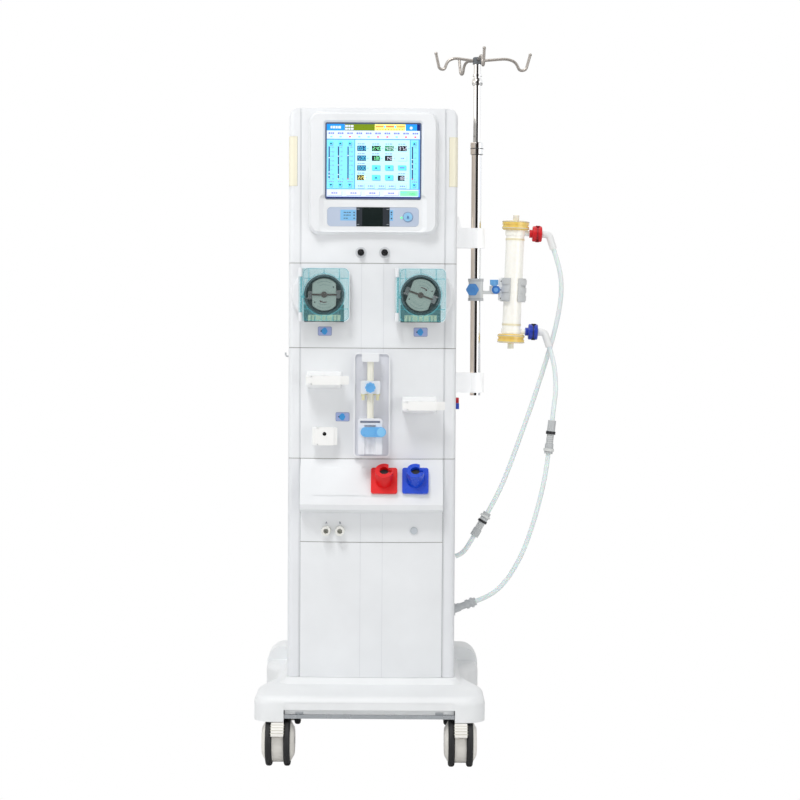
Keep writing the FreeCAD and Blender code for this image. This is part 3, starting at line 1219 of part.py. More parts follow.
def holder_bracket():
    """The swivelling half of the holder with the fixed left jaw."""
    inner = CASE_RADIUS + SEAT
    z0, z1 = HOLDER_Z - JAW_HALF_HEIGHT, HOLDER_Z + JAW_HALF_HEIGHT
    px, py = jaw_pivot()
    lugs = [jaw_sector(91, 114, a, b, inner, JAW_RADIUS) for a, b in ((z0, z0 + 12), (z1 - 12, z1))]
    jaw = join(jaw_sector(112, 252, z0, z1, inner, JAW_RADIUS), *lugs, *jaw_ribs(200, 250, z0, z1))
    pad = box(DIALYSER_X - JAW_RADIUS - 3, DIALYSER_X - CASE_RADIUS - 3, POLE_Y - 12, POLE_Y + 14, z0 + 2, z1 - 2)
    jaw = jaw.fuse(pad)
    for a, b in ((z0, z0 + 12), (z1 - 12, z1)):
        jaw = jaw.fuse(rod((px, py, a), (0, 0, 1), 5, b - a))
    jaw = jaw.fuse(rod((px, py, z0 + 2), (0, 0, 1), 2.5, z1 - z0 - 4)).removeSplitter()
    jaw = jaw.cut(rod((DIALYSER_X, POLE_Y, z0 - 1), (0, 0, 1), inner, z1 - z0 + 2))
    jaw = lean(jaw)
    disc = rod((SWIVEL_X, POLE_Y, HOLDER_Z - 2 + SEAT), (0, 0, 1), 10, 10)
    arm = box(SWIVEL_X, DIALYSER_X - JAW_RADIUS, POLE_Y - 7, POLE_Y + 7, HOLDER_Z - 2 + SEAT, HOLDER_Z + 8 + SEAT)
    wheel = rod((SWIVEL_X + 3, POLE_Y - 20, HOLDER_Z), (0, 1, 0), 8.5, 9)
    yoke = box(SWIVEL_X - 3, SWIVEL_X + 9, POLE_Y - 14, POLE_Y - 6, HOLDER_Z - 1, HOLDER_Z + 8)
    body = join(disc, arm, wheel, yoke, jaw)
    body = body.cut(ring((SWIVEL_X, POLE_Y, HOLDER_Z - 20), (0, 0, 1), 10 + SEAT, 0.01, 18 + SEAT))
    return body.cut(rod((SWIVEL_X, POLE_Y, HOLDER_Z - 20), (0, 0, 1), 3 + SHAFT_GAP, 40))


def bracket_knob():
    """The wing knob on top of the swivel; its stud goes down through both discs."""
    z = HOLDER_Z + 8 + 2 * SEAT
    stud = rod((SWIVEL_X, POLE_Y, HOLDER_Z - 8), (0, 0, 1), 3, z - HOLDER_Z + 10)
    hub = rod((SWIVEL_X, POLE_Y, z), (0, 0, 1), 6, 10)
    wings = plan_prism(rectangle(SWIVEL_X - 9, SWIVEL_X + 9, POLE_Y - 3, POLE_Y + 3), 2.8, z + 2, z + 13)
    return join(stud, hub, wings)


def holder_jaw():
    """The opening jaw on the right, hung behind the dialyser."""
    inner = CASE_RADIUS + SEAT
    z0, z1 = HOLDER_Z - JAW_HALF_HEIGHT, HOLDER_Z + JAW_HALF_HEIGHT
    px, py = jaw_pivot()
    jaw = join(jaw_sector(-62, 60, z0, z1, inner, JAW_RADIUS), *jaw_ribs(-58, 10, z0, z1))
    reach = jaw_sector(58, 89, z0 + 12.4, z1 - 12.4, inner, JAW_RADIUS)
    knuckle = rod((px, py, z0 + 12.4), (0, 0, 1), 5, 2 * JAW_HALF_HEIGHT - 24.8)
    body = join(jaw, reach, knuckle)
    body = body.cut(rod((px, py, z0), (0, 0, 1), 2.5 + SHAFT_GAP, z1 - z0))
    body = body.cut(rod((DIALYSER_X, POLE_Y, z0 - 1), (0, 0, 1), inner, z1 - z0 + 2))
    return lean(body)


def dialyser_case():
    """The clear case with its two side ports, and the fibre bundle inside it."""
    up = (0, 0, 1)
    base = (DIALYSER_X, POLE_Y, CASE_BOTTOM)
    height = CASE_TOP - CASE_BOTTOM
    case = rod(base, up, CASE_RADIUS, height)
    for z in (RED_PORT_Z, BLUE_PORT_Z):
        case = case.fuse(rod((DIALYSER_X, POLE_Y, z), (1, 0, 0), PORT_RADIUS, 44))
        case = case.fuse(rod((DIALYSER_X, POLE_Y, z - PORT_RADIUS + 0.6), up, CASE_RADIUS + 2,
                             2 * PORT_RADIUS - 1.2))
    case = case.removeSplitter().cut(rod((DIALYSER_X, POLE_Y, CASE_BOTTOM - 1), up, CASE_RADIUS - CASE_WALL, height + 2))
    for z in (RED_PORT_Z, BLUE_PORT_Z):
        case = case.cut(rod((DIALYSER_X + 5, POLE_Y, z), (1, 0, 0), 3, 50))
    fibres = rod((DIALYSER_X, POLE_Y, CASE_BOTTOM), up, CASE_RADIUS - CASE_WALL - SEAT, height)
    return lean(Part.makeCompound([case, fibres]))


def end_cap(z, direction):
    """An end cap turned from its blood nipple to its gripping rim."""
    up = (0, 0, direction)
    height = END_CAP_HEIGHT
    rim = rod((DIALYSER_X, POLE_Y, z + direction * SEAT), up, END_CAP_RADIUS, height - SEAT)
    rims = [e for e in rim.Edges if abs(e.BoundBox.ZMin - e.BoundBox.ZMax) < 1e-6]
    rim = rim.makeFillet(4, rims)
    groove = ring((DIALYSER_X, POLE_Y, z + direction * height * 0.42), up, END_CAP_RADIUS + 1,
                  END_CAP_RADIUS - 1.6, height * 0.16)
    nipple = rod((DIALYSER_X, POLE_Y, z + direction * (height - 1)), up, 6.5, 13)
    cap = join(rim.cut(groove), nipple)
    return cap.cut(rod((DIALYSER_X, POLE_Y, z + direction * 3), up, 3.2, height + 12))


def dialyser_caps():
    return lean(Part.makeCompound([end_cap(CASE_TOP, 1), end_cap(CASE_BOTTOM, -1)]))


def elbow_points(port_z, drop, run):
    """The elbow's centre line behind a coupling, before the group leans."""
    x = DIALYSER_X + 56
    return [(x + SEAT, POLE_Y, port_z), (x + 15, POLE_Y, port_z), (x + 15 + run, POLE_Y, port_z - drop)]


RED_ELBOW = elbow_points(RED_PORT_Z, 30, 11)
BLUE_ELBOW = elbow_points(BLUE_PORT_Z, 30, 11)


def hose_couplings():
    """The red and blue snap couplings on the side ports, each with its white elbow."""
    solids = []
    for port_z, elbow in ((RED_PORT_Z, RED_ELBOW), (BLUE_PORT_Z, BLUE_ELBOW)):
        start = (DIALYSER_X + 36, POLE_Y, port_z)
        body = rod(start, (1, 0, 0), COUPLING_RADIUS, 20)
        edges = [e for e in body.Edges if abs(e.BoundBox.XMin - e.BoundBox.XMax) < 1e-6]
        body = body.makeFillet(2.5, edges)
        waist = ring((start[0] + 8, POLE_Y, port_z), (1, 0, 0), COUPLING_RADIUS + 1, COUPLING_RADIUS - 2.5, 5)
        sleeve = rod((start[0] - 6.5, POLE_Y, port_z), (1, 0, 0), PORT_RADIUS + 3, 8.5)
        body = join(body.cut(waist), sleeve)
        solids.append(body.cut(rod((start[0] - 9, POLE_Y, port_z), (1, 0, 0), PORT_RADIUS + SLIDE_GAP, 18)))
        solids.append(tube_along(elbow, ELBOW_RADIUS))
    return lean(Part.makeCompound(solids))


# Hose routes, chosen by hand along the photographed lines
RED_UPPER = [(381.2, 35.0, 1049.3), (390.8, 35.0, 1021.2), (399.5, 38.0, 983.0), (398.5, 46.0, 935.0),
             (386.0, 55.0, 869.0), (365.0, 60.0, 797.0), (340.0, 60.0, 718.0), (313.0, 56.0, 642.0),
             (287.0, 49.0, 570.0), (264.0, 42.9, 518.1), (246.0, 41.0, 487.0)]
RED_LOWER = [(217.0, 38.0, 437.0), (207.0, 37.0, 419.7), (197.5, 36.3, 405.5), (188.0, 35.5, 397.2),
             (178.0, 35.0, 393.9)]
BLUE_UPPER = [(374.0, 35.0, 841.9), (381.9, 35.0, 818.5), (387.4, 33.0, 786.0), (389.0, 29.0, 752.0),
              (384.6, 25.3, 717.8), (381.0, 24.0, 686.0)]
BLUE_LOWER = [(373.0, 21.0, 615.0), (369.0, 19.5, 579.3), (359.0, 17.0, 530.0), (341.0, 15.0, 462.0),
              (317.0, 17.0, 395.0), (286.0, 22.0, 342.0), (253.5, 28.1, 310.3), (222.0, 32.0, 298.0)]


def in_line_connector(start, end, clip_first):
    """A hose connector between two points: two barrels, a ring and a thumb clip."""
    along = V(*end) - V(*start)
    length = along.Length - 2 * SEAT
    along.normalize()
    a = V(*start) + along * SEAT

    def barrel(near, far, radius):
        return Part.makeCylinder(radius, (far - near) * length, a + along * (near * length), along)
    pieces = [barrel(0, 0.35, 8.5), barrel(0.32, 0.42, 10), barrel(0.4, 0.72, 7.5), barrel(0.7, 1.0, 9)]
    if clip_first:
        pieces.append(barrel(0.12, 0.2, 11))
    else:
        pieces.append(barrel(0.84, 0.92, 11))
    return join(*pieces)


def red_connector():
    return in_line_connector(RED_UPPER[-1], RED_LOWER[0], True)


def blue_connector():
    return in_line_connector(BLUE_UPPER[-1], BLUE_LOWER[0], False)


def wall_fittings():
    """What is screwed to the sides: hose outlets, the two parking caps and the line hook."""
    side = COLUMN_HALF_WIDTH + SEAT
    end = RED_LOWER[-1]
    outlet = rod((side, end[1], end[2]), (1, 0, 0), 9.5, 3)
    blue_end = BLUE_LOWER[-1]
    root = (side, blue_end[1] + 6, blue_end[2] - 19)
    plug = in_line_connector(blue_end, root, True)
    flange = rod(root, (1, 0, 0), 13, 5)
    face = box(side - 20, side, root[1] - 30, root[1] + 30, root[2] - 30, root[2] + 30)
    plug = join(plug, flange).cut(face)
    caps = []
    for y, z in ((FRONT_Y + 98, 716), (FRONT_Y + 118, 727)):
        cap = rod((side, y, z), (1, 0, 0), 6.5, 9)
        caps.append(join(cap, rod((side, y, z), (1, 0, 0), 9, 2)))
    plate = rod((-side - 2, FRONT_Y + 60, 820), (1, 0, 0), 7, 2)
    hook = tube_along([(-side - 1, FRONT_Y + 60, 820), (-side - 8, FRONT_Y + 60, 820),
                       (-side - 9, FRONT_Y + 60, 828)], 1.8)
    return Part.makeCompound([outlet, plug, join(plate, hook)] + caps + rear_inlets())


def rear_inlets():
    """The water inlet, the drain and the mains inlet on the back."""
    made = []
    for x in (-110, -70):
        flange = rod((x, REAR_Y + SEAT, 250), (0, 1, 0), 14, 4)
        made.append(join(flange, rod((x, REAR_Y + 2, 250), (0, 1, 0), 6, 24)))
    x0, x1, z0, z1 = MAINS_INLET
    flange = front_prism(rectangle(x0 - 4, x1 + 4, z0 - 4, z1 + 4), 3, REAR_Y + SEAT, REAR_Y + 3)
    shell = front_prism(rectangle(x0, x1, z0, z1), 2, REAR_Y - MAINS_DEPTH - 3, REAR_Y + 2)
    socket = front_prism(rectangle(x0 + 6, x1 - 6, z0 + 4, z1 - 4), 3, REAR_Y - MAINS_DEPTH, REAR_Y + 4)
    made.append(join(flange, shell).cut(socket))
    return made


def yoke(side, end, braked):
    """A caster's swivel body between its two wheels, with the stem and, if braked, the pedal's slot."""
    sx = side * STEM_X
    sy = end * STEM_Y
    axle_y = sy - TRAIL
    half = YOKE_WIDTH / 2
    disc = rod((sx - half, axle_y, WHEEL_RADIUS), (1, 0, 0), YOKE_RADIUS, YOKE_WIDTH)
    neck = box(sx - half, sx + half, sy - 14, sy + 14, WHEEL_RADIUS + 8, WHEEL_RADIUS * 2 + 2)
    collar = rod((sx, sy, WHEEL_RADIUS * 2 + 1), (0, 0, 1), COLLAR_RADIUS, RAIL_BOTTOM - SEAT - WHEEL_RADIUS * 2 - 1)
    stem = rod((sx, sy, RAIL_BOTTOM - 3), (0, 0, 1), STEM_RADIUS, STEM_LENGTH)
    body = join(disc, neck, collar, stem)
    body = body.cut(rod((sx - 30, axle_y, WHEEL_RADIUS), (1, 0, 0), AXLE_RADIUS + SHAFT_GAP, 60))
    if braked:
        x0, x1 = sx - PEDAL_WEB / 2 - SEAT, sx + PEDAL_WEB / 2 + SEAT
        py, pz = pedal_pivot(sy)
        body = body.cut(side_prism([(py - 40, pz - 20 - PEDAL_SWING), (py + 7, pz - 8 - PEDAL_SWING),
                                    (py + 7, pz + 24), (py - 40, pz + 24)],
                                   0, x0, x1))
        body = body.fuse(rod((x0 - 2, py, pz), (1, 0, 0), PEDAL_PIN, x1 - x0 + 4)).removeSplitter()
    return body


def pedal_pivot(sy):
    return sy - TRAIL - 20, WHEEL_RADIUS + 31


def brake_pedal(side, end):
    """The foot pedal over the front of a caster: a curved plate on a web between the wheels."""
    sx = side * STEM_X
    sy = end * STEM_Y
    axle_y = sy - TRAIL
    py, pz = pedal_pivot(sy)

    def at(radius, degrees, x):
        turn = math.radians(degrees)
        return V(x, axle_y - radius * math.cos(turn), WHEEL_RADIUS + radius * math.sin(turn))

    def band(x0, x1, inner, outer, low, high):
        middle = (low + high) / 2
        edges = [Part.Arc(at(outer, low, x0), at(outer, middle, x0), at(outer, high, x0)).toShape(),
                 Part.LineSegment(at(outer, high, x0), at(inner, high, x0)).toShape(),
                 Part.Arc(at(inner, high, x0), at(inner, middle, x0), at(inner, low, x0)).toShape(),
                 Part.LineSegment(at(inner, low, x0), at(outer, low, x0)).toShape()]
        return Part.Face(Part.Wire(edges)).extrude(V(x1 - x0, 0, 0))
    half = PEDAL_WIDTH / 2
    plate = band(sx - half, sx + half, PEDAL_RADIUS, PEDAL_RADIUS + PEDAL_THICK, 20, 50)
    web = band(sx - PEDAL_WEB / 2, sx + PEDAL_WEB / 2, YOKE_RADIUS - 8, PEDAL_RADIUS + 1, 36, 49)
    eye = rod((sx - PEDAL_WEB / 2, py, pz), (1, 0, 0), 5.5, PEDAL_WEB)
    link = side_prism([(py - 2, pz - 4), (py - 12, pz - 6), (py - 12, pz + 4), (py - 1, pz + 5)], 0,
                      sx - PEDAL_WEB / 2, sx + PEDAL_WEB / 2)
    body = join(plate, web, eye, link)
    return body.cut(rod((sx - 20, py, pz), (1, 0, 0), PEDAL_PIN + SHAFT_GAP, 40))


def wheel_pair(side, end):
    """The two wheels of a caster on their axle: hubs with domed caps and rubber tyres."""
    sx = side * STEM_X
    axle_y = end * STEM_Y - TRAIL
    centre = V(sx, axle_y, WHEEL_RADIUS)
    inner = YOKE_WIDTH / 2 + SEAT
    hub_radius = WHEEL_RADIUS - TREAD_DEPTH

    def turned(points, radii):
        wire = rounded_wire(points, radii, lambda p: centre + V(p.x, p.y, 0))
        return Part.Face(wire).revolve(centre, V(1, 0, 0), 360)
    solids = []
    axle = rod((sx - inner - 2, axle_y, WHEEL_RADIUS), (1, 0, 0), AXLE_RADIUS, 2 * inner + 4)
    hubs = [axle]
    for hand in (-1, 1):
        a, b = hand * inner, hand * (inner + TREAD_WIDTH)
        outer = hand * (inner + TREAD_WIDTH + HUB_CAP_DEPTH)
        hubs.append(turned([(a, 0), (a, hub_radius), (b, hub_radius), (outer, hub_radius - 14), (outer, 0)],
                           [0, 0, 0, 8, 0]))
        gap = 0.02
        solids.append(turned([(a, hub_radius + gap), (a, WHEEL_RADIUS), (b, WHEEL_RADIUS), (b, hub_radius + gap)],
                             [0, TREAD_ROUND, TREAD_ROUND, 0]))
    return Part.makeCompound([join(*hubs)] + solids)


def casters():
    """All the caster nodes: four yokes, four wheel pairs and the two front pedals."""
    made = {}
    for end, row in ((-1, "front"), (1, "rear")):
        for side, hand in ((-1, "left"), (1, "right")):
            made[f"caster_{row}_{hand}_yoke"] = yoke(side, end, end < 0)
            made[f"caster_{row}_{hand}_wheels"] = wheel_pair(side, end)
            if end < 0:
                made[f"brake_pedal_{hand}"] = brake_pedal(side, end)
    return made


def nodes():
    """Every node of the machine by name."""
    made = {
        "base_cover": base_cover(),
        "chassis_frame": chassis_frame(),
        "side_panels": side_panels(),
        "rear_cover": rear_cover(),
        "monitor_housing": monitor_housing(),
        "touch_screen": touch_screen(),
        "control_panel": control_panel(),
        "mute_button": mute_button(),
        "status_lamps": status_lamps(),
        "front_ports": front_ports(),
        "pump_panel": pump_panel(),
        "pump_left_housing": pump_housing(-1),
        "pump_right_housing": pump_housing(1),
        "pump_left_cover": pump_cover(-1),
        "pump_right_cover": pump_cover(1),
        "pump_left_rotor": pump_rotor(-1),
        "pump_right_rotor": pump_rotor(1),
        "internal_units": internal_units(),
        "module_panel": module_panel(),
        "detector_bases": detector_bases(),
        "air_detector_door": detector_door(AIR_DETECTOR),
        "blood_detector_door": detector_door(BLOOD_DETECTOR),
        "sensor_door": sensor_door(),
        "heparin_plate": heparin_plate(),
        "plunger_carriage": plunger_carriage(),
        "carriage_knob": carriage_knob(),
        "syringe_cradle": syringe_cradle(),
        "syringe_lever": syringe_lever(),
        "rinse_panel": rinse_panel(),
        "rinse_ports": rinse_ports(),
        "front_lower_cover": front_lower_cover(),
        "pole_brackets": pole_brackets(),
        "pole_tube": pole_tube(),
        "pole_rod": pole_rod(),
        "pole_hooks": pole_hooks(),
        "holder_clamp": holder_clamp(),
        "clamp_knob": clamp_knob(),
        "holder_bracket": holder_bracket(),
        "bracket_knob": bracket_knob(),
        "holder_jaw": holder_jaw(),
        "dialyser_case": dialyser_case(),
        "dialyser_caps": dialyser_caps(),
        "hose_couplings": hose_couplings(),
        "red_hose_upper": tube_along(RED_UPPER, HOSE_RADIUS, "red_hose_upper"),
        "red_hose_lower": tube_along(RED_LOWER, HOSE_RADIUS, "red_hose_lower"),
        "blue_hose_upper": tube_along(BLUE_UPPER, HOSE_RADIUS, "blue_hose_upper"),
        "blue_hose_lower": tube_along(BLUE_LOWER, HOSE_RADIUS, "blue_hose_lower"),
        "red_connector": red_connector(),
        "blue_connector": blue_connector(),
        "wall_fittings": wall_fittings(),
    }
    made.update(casters())
    return made


os.makedirs("parts", exist_ok=True)
for node, shape in nodes().items():
    shape.exportStep(f"parts/{node}.step")
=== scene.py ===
"""Looks of the haemodialysis machine: its finishes, its drawn screen, its hoses and its small details.

Lengths in the pieces are millimetres in the frame of the machine; they become metres when a mesh is made.
"""
import logging
import math
from dataclasses import dataclass, field
from enum import Enum

import bmesh
import bpy
from mathutils import Matrix, Vector


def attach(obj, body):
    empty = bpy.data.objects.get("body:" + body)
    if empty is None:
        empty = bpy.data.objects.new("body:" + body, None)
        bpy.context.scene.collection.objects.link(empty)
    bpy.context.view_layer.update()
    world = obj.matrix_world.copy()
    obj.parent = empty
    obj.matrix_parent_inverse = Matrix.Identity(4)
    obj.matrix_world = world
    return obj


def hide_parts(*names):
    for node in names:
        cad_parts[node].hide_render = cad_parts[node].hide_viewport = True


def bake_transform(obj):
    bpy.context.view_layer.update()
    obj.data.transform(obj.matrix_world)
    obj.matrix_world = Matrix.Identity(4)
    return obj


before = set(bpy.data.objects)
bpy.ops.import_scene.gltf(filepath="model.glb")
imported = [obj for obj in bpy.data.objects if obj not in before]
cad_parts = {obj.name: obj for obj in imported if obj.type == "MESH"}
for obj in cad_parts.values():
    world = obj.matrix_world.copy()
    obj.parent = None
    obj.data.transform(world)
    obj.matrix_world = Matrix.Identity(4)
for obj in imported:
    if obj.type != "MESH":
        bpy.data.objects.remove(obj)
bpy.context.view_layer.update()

LOG = logging.getLogger("dialysis_machine")
Triple = tuple[float, float, float]
Pair = tuple[float, float]
MM = 0.001
BOW_RADIUS = 1205.0
BOW_FRONT = -105.0
AXLE_HEIGHT = 50.0
SEAM_LEVELS = (1013.0, 839.0, 611.0)
LEDGE_SEAM = (437.8, 439.2)


def srgb(red: float, green: float, blue: float) -> Triple:
    """Gives the linear colour of a colour that is written from 0 to 255.

    Args:
        red: Red part.
        green: Green part.
        blue: Blue part.

    Returns:
        The three linear parts, from 0 to 1.
    """
    parts = []
    for value in (red, green, blue):
        share = value / 255
        parts.append(share / 12.92 if share <= 0.04045 else ((share + 0.055) / 1.055) ** 2.4)
    return parts[0], parts[1], parts[2]


class Axis(Enum):
    """An axis of the machine's frame."""

    X = 0
    Y = 1
    Z = 2


@dataclass(frozen=True)
class Zone:
    """A part of a node that has another colour: a box, a round shell about an axis, or both at once."""

    colour: Triple
    roughness: float = 0.4
    low: tuple[float | None, float | None, float | None] = (None, None, None)
    high: tuple[float | None, float | None, float | None] = (None, None, None)
    about: Axis | None = None
    centre: Pair = (0.0, 0.0)
    inner: float = 0.0
    outer: float = 1e5
    metal: float = 0.0
    alpha: float | None = None


class Shader:
    """A material's node tree, with short calls for the nodes that the finishes use."""

    def __init__(self, name: str) -> None:
        """Makes an empty node material of that name."""
        self.material = bpy.data.materials.new(name)
        self.material.use_nodes = True
        self.tree = self.material.node_tree
        self.surface = self.tree.nodes["Principled BSDF"]
        self.place = self.tree.nodes.new("ShaderNodeTexCoord").outputs["Object"]
        self._parts: dict[int, bpy.types.NodeSocket] = {}

    def put(self, socket: bpy.types.NodeSocket, value: object) -> None:
        """Sets a socket's number or colour, or links it where the value is itself a socket."""
        if isinstance(value, bpy.types.NodeSocket):
            self.tree.links.new(value, socket)
        elif isinstance(value, tuple) and len(value) == 3 and socket.type == "RGBA":
            socket.default_value = (*value, 1.0)
        else:
            socket.default_value = value

    def sum(self, kind: str, first: object, second: object = 0.0, third: object = 0.0) -> bpy.types.NodeSocket:
        """Adds a Math node.

        Args:
            kind: The node's operation.
            first: First value or socket.
            second: Second value or socket.
            third: Third value or socket.

        Returns:
            The node's result.
        """
        node = self.tree.nodes.new("ShaderNodeMath")
        node.operation = kind
        for socket, value in zip(node.inputs, (first, second, third)):
            self.put(socket, value)
        return node.outputs[0]

    def part(self, axis: Axis) -> bpy.types.NodeSocket:
        """Returns one coordinate of the point, in metres."""
        if not self._parts:
            node = self.tree.nodes.new("ShaderNodeSeparateXYZ")
            self.put(node.inputs[0], self.place)
            self._parts = dict(enumerate(node.outputs))
        return self._parts[axis.value]

    def scaled(self, stretch: Triple) -> bpy.types.NodeSocket:
        """Returns the point with each coordinate stretched, for grain that runs one way."""
        node = self.tree.nodes.new("ShaderNodeMapping")
        self.put(node.inputs["Vector"], self.place)
        node.inputs["Scale"].default_value = stretch
        return node.outputs[0]

    def noise(self, scale: float, detail: float = 2.0, where: bpy.types.NodeSocket | None = None
              ) -> bpy.types.NodeSocket:
        """Adds a noise of that many cells a metre.

        Args:
            scale: Cells a metre.
            detail: Octaves.
            where: The point that it reads, or None for the plain one.

        Returns:
            The noise, from 0 to 1.
        """
        node = self.tree.nodes.new("ShaderNodeTexNoise")
        self.put(node.inputs["Vector"], where or self.place)
        node.inputs["Scale"].default_value = scale
        node.inputs["Detail"].default_value = detail
        return node.outputs["Fac"]

    def span(self, value: bpy.types.NodeSocket, low: float, high: float,
             start: float = 0.3, end: float = 0.7) -> bpy.types.NodeSocket:
        """Maps a value that goes from start to end on to low to high."""
        node = self.tree.nodes.new("ShaderNodeMapRange")
        for socket, number in zip(node.inputs, (value, start, end, low, high)):
            self.put(socket, number)
        return node.outputs[0]

    def blend(self, share: object, first: object, second: object) -> bpy.types.NodeSocket:
        """Mixes two colours by a share."""
        node = self.tree.nodes.new("ShaderNodeMix")
        node.data_type = "RGBA"
        self.put(node.inputs[0], share)
        self.put(node.inputs[6], first)
        self.put(node.inputs[7], second)
        return node.outputs[2]

    def bump(self, height: bpy.types.NodeSocket, strength: float, depth: float) -> None:
        """Gives the surface a relief of that depth in metres."""
        node = self.tree.nodes.new("ShaderNodeBump")
        node.inputs["Strength"].default_value = strength
        node.inputs["Distance"].default_value = depth
        self.put(node.inputs["Height"], height)
        self.put(self.surface.inputs["Normal"], node.outputs[0])

    def painted_reflection_bands(self, bands: tuple[Triple, Triple], colour: bpy.types.NodeSocket) -> bpy.types.NodeSocket:
        """Paints a bright studio's reflections into the base colour of polished metal: a warm upright band on
        the left side and a dark one in the middle.

        Args:
            bands: The colours of the painted reflections: the warm one of the left side and the dark one of the
                middle.
            colour: The colour elsewhere.

        Returns:
            The banded colour.
        """
        parts = self.tree.nodes.new("ShaderNodeSeparateXYZ")
        self.put(parts.inputs[0], self.tree.nodes.new("ShaderNodeNewGeometry").outputs["Normal"])
        across = parts.outputs["X"]
        warm = self.span(across, 1.0, 0.0, -0.42, -0.12)
        rise = self.span(across, 0.0, 1.0, -0.36, -0.1)
        fall = self.span(across, 1.0, 0.0, 0.2, 0.42)
        shade = self.sum("MULTIPLY", rise, fall)
        return self.blend(shade, self.blend(warm, colour, bands[0]), bands[1])

    def mask(self, zone: Zone) -> bpy.types.NodeSocket:
        """Builds the share, 0 or 1, of a zone.

        Args:
            zone: The zone.

        Returns:
            A socket that is 1 inside the zone.
        """
        tests = []
        for axis in Axis:
            low, high = zone.low[axis.value], zone.high[axis.value]
            if low is not None:
                tests.append(self.sum("GREATER_THAN", self.part(axis), low * MM))
            if high is not None:
                tests.append(self.sum("LESS_THAN", self.part(axis), high * MM))
        if zone.about is not None:
            others = [a for a in Axis if a is not zone.about]
            squares = [self.sum("POWER", self.sum("SUBTRACT", self.part(a), c * MM), 2.0)
                       for a, c in zip(others, zone.centre)]
            reach = self.sum("SQRT", self.sum("ADD", *squares))
            tests.append(self.sum("GREATER_THAN", reach, zone.inner * MM))
            tests.append(self.sum("LESS_THAN", reach, zone.outer * MM))
        found = tests[0]
        for test in tests[1:]:
            found = self.sum("MULTIPLY", found, test)
        return found


@dataclass(frozen=True)
class Finish:
    """A finish of a rigid surface: its colour with faint clouds, its gloss and its fine relief."""

    name: str
    colour: Triple
    roughness: float = 0.4
    metal: float = 0.0
    clouds: float = 0.04
    cloud_scale: float = 9.0
    grain: float = 0.12
    grain_scale: float = 1400.0
    grain_depth: float = 0.00008
    stretch: Triple = (1.0, 1.0, 1.0)
    coat: float = 0.0
    alpha: float = 1.0
    # Light given off in the finish's own colour: the own light of displays and lamps, and painted light on
    # parts that are no lamps.
    glow: float = 0.0
    soft: float = 0.0
    # The warm and the dark band of a reflection painted into polished metal's colour, by the way the surface
    # faces.
    painted_reflection: tuple[Triple, Triple] | None = None
    zones: tuple[Zone, ...] = ()

    def material(self) -> bpy.types.Material:
        """Returns the finish as a material, which is made once."""
        found = bpy.data.materials.get(self.name)
        if found:
            return found
        shader = Shader(self.name)
        surface = shader.surface
        dark = tuple(c * (1 - self.clouds) for c in self.colour)
        light = tuple(min(1.0, c * (1 + self.clouds / 2)) for c in self.colour)
        clouds = shader.span(shader.noise(self.cloud_scale, 3.0), 0.0, 1.0)
        colour = shader.blend(clouds, dark, light)
        # Painted reflection: polished metal gets the warm and the dark band in its base colour.
        if self.painted_reflection:
            colour = shader.painted_reflection_bands(self.painted_reflection, colour)
        wear = shader.noise(self.cloud_scale * 4, 2.0)
        rough = shader.span(wear, self.roughness - 0.03, self.roughness + 0.04)
        metal = self.metal
        alpha = self.alpha
        for zone in self.zones:
            share = shader.mask(zone)
            colour = shader.blend(share, colour, zone.colour)
            step = shader.sum("MULTIPLY", share, zone.roughness - self.roughness)
            rough = shader.sum("ADD", rough, step)
            if zone.metal != self.metal:
                metal = shader.sum("ADD", shader.sum("MULTIPLY", share, zone.metal - self.metal), metal)
            if zone.alpha is not None:
                alpha = shader.sum("ADD", shader.sum("MULTIPLY", share, zone.alpha - self.alpha), alpha)
        shader.put(surface.inputs["Base Color"], colour)
        shader.put(surface.inputs["Roughness"], rough)
        shader.put(surface.inputs["Metallic"], metal)
        if self.coat:
            surface.inputs["Coat Weight"].default_value = self.coat
            surface.inputs["Coat Roughness"].default_value = 0.12
        shader.put(surface.inputs["Alpha"], alpha)
        if self.soft:
            surface.inputs["Subsurface Weight"].default_value = self.soft
            surface.inputs["Subsurface Scale"].default_value = 0.004
        if self.glow:
            shader.put(surface.inputs["Emission Color"], colour)
            surface.inputs["Emission Strength"].default_value = self.glow
        where = shader.scaled(self.stretch) if self.stretch != (1.0, 1.0, 1.0) else None
        shader.bump(shader.noise(self.grain_scale, 3.0, where), self.grain, self.grain_depth)
        return shader.material


WHITE = srgb(238, 240, 242)
PALE_GREY = srgb(214, 217, 220)
BLACK = srgb(24, 25, 28)

BODY = Finish("moulded_white", WHITE, 0.38)
SHEET = Finish("painted_sheet_white", srgb(234, 236, 239), 0.42, grain=0.3, grain_scale=900.0)
FRAME_PAINT = Finish("chassis_paint", srgb(120, 126, 132), 0.5, grain=0.3, zones=(
    Zone(srgb(176, 180, 184), 0.28, high=(None, -230.0, None), metal=1.0),))
BASE = Finish("base_plastic", srgb(242, 244, 245), 0.45)
# The chrome of the pole and of its rod carries painted reflections: a warm band on the left side and a dark one
# in the middle.
CHROME = Finish("chrome", srgb(244, 246, 248), 0.16, metal=1.0, grain=0.05, stretch=(1.0, 1.0, 0.05),
                painted_reflection=(srgb(252, 238, 222), srgb(60, 52, 48)))
UPPER_CHROME = Finish("chrome_rod", srgb(246, 247, 248), 0.14, metal=1.0, grain=0.05, stretch=(1.0, 1.0, 0.05),
                      painted_reflection=(srgb(226, 222, 216), srgb(66, 60, 58)))
TYRE_TONE = srgb(20, 21, 23)


def dress(node: str, finish: Finish) -> bpy.types.Object:
    """Gives a node of the frame its finish.

    Args:
        node: The node's name.
        finish: What it is made of.

    Returns:
        The node's object.
    """
    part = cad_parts[node]
    part.data.materials.clear()
    part.data.materials.append(finish.material())
    return part


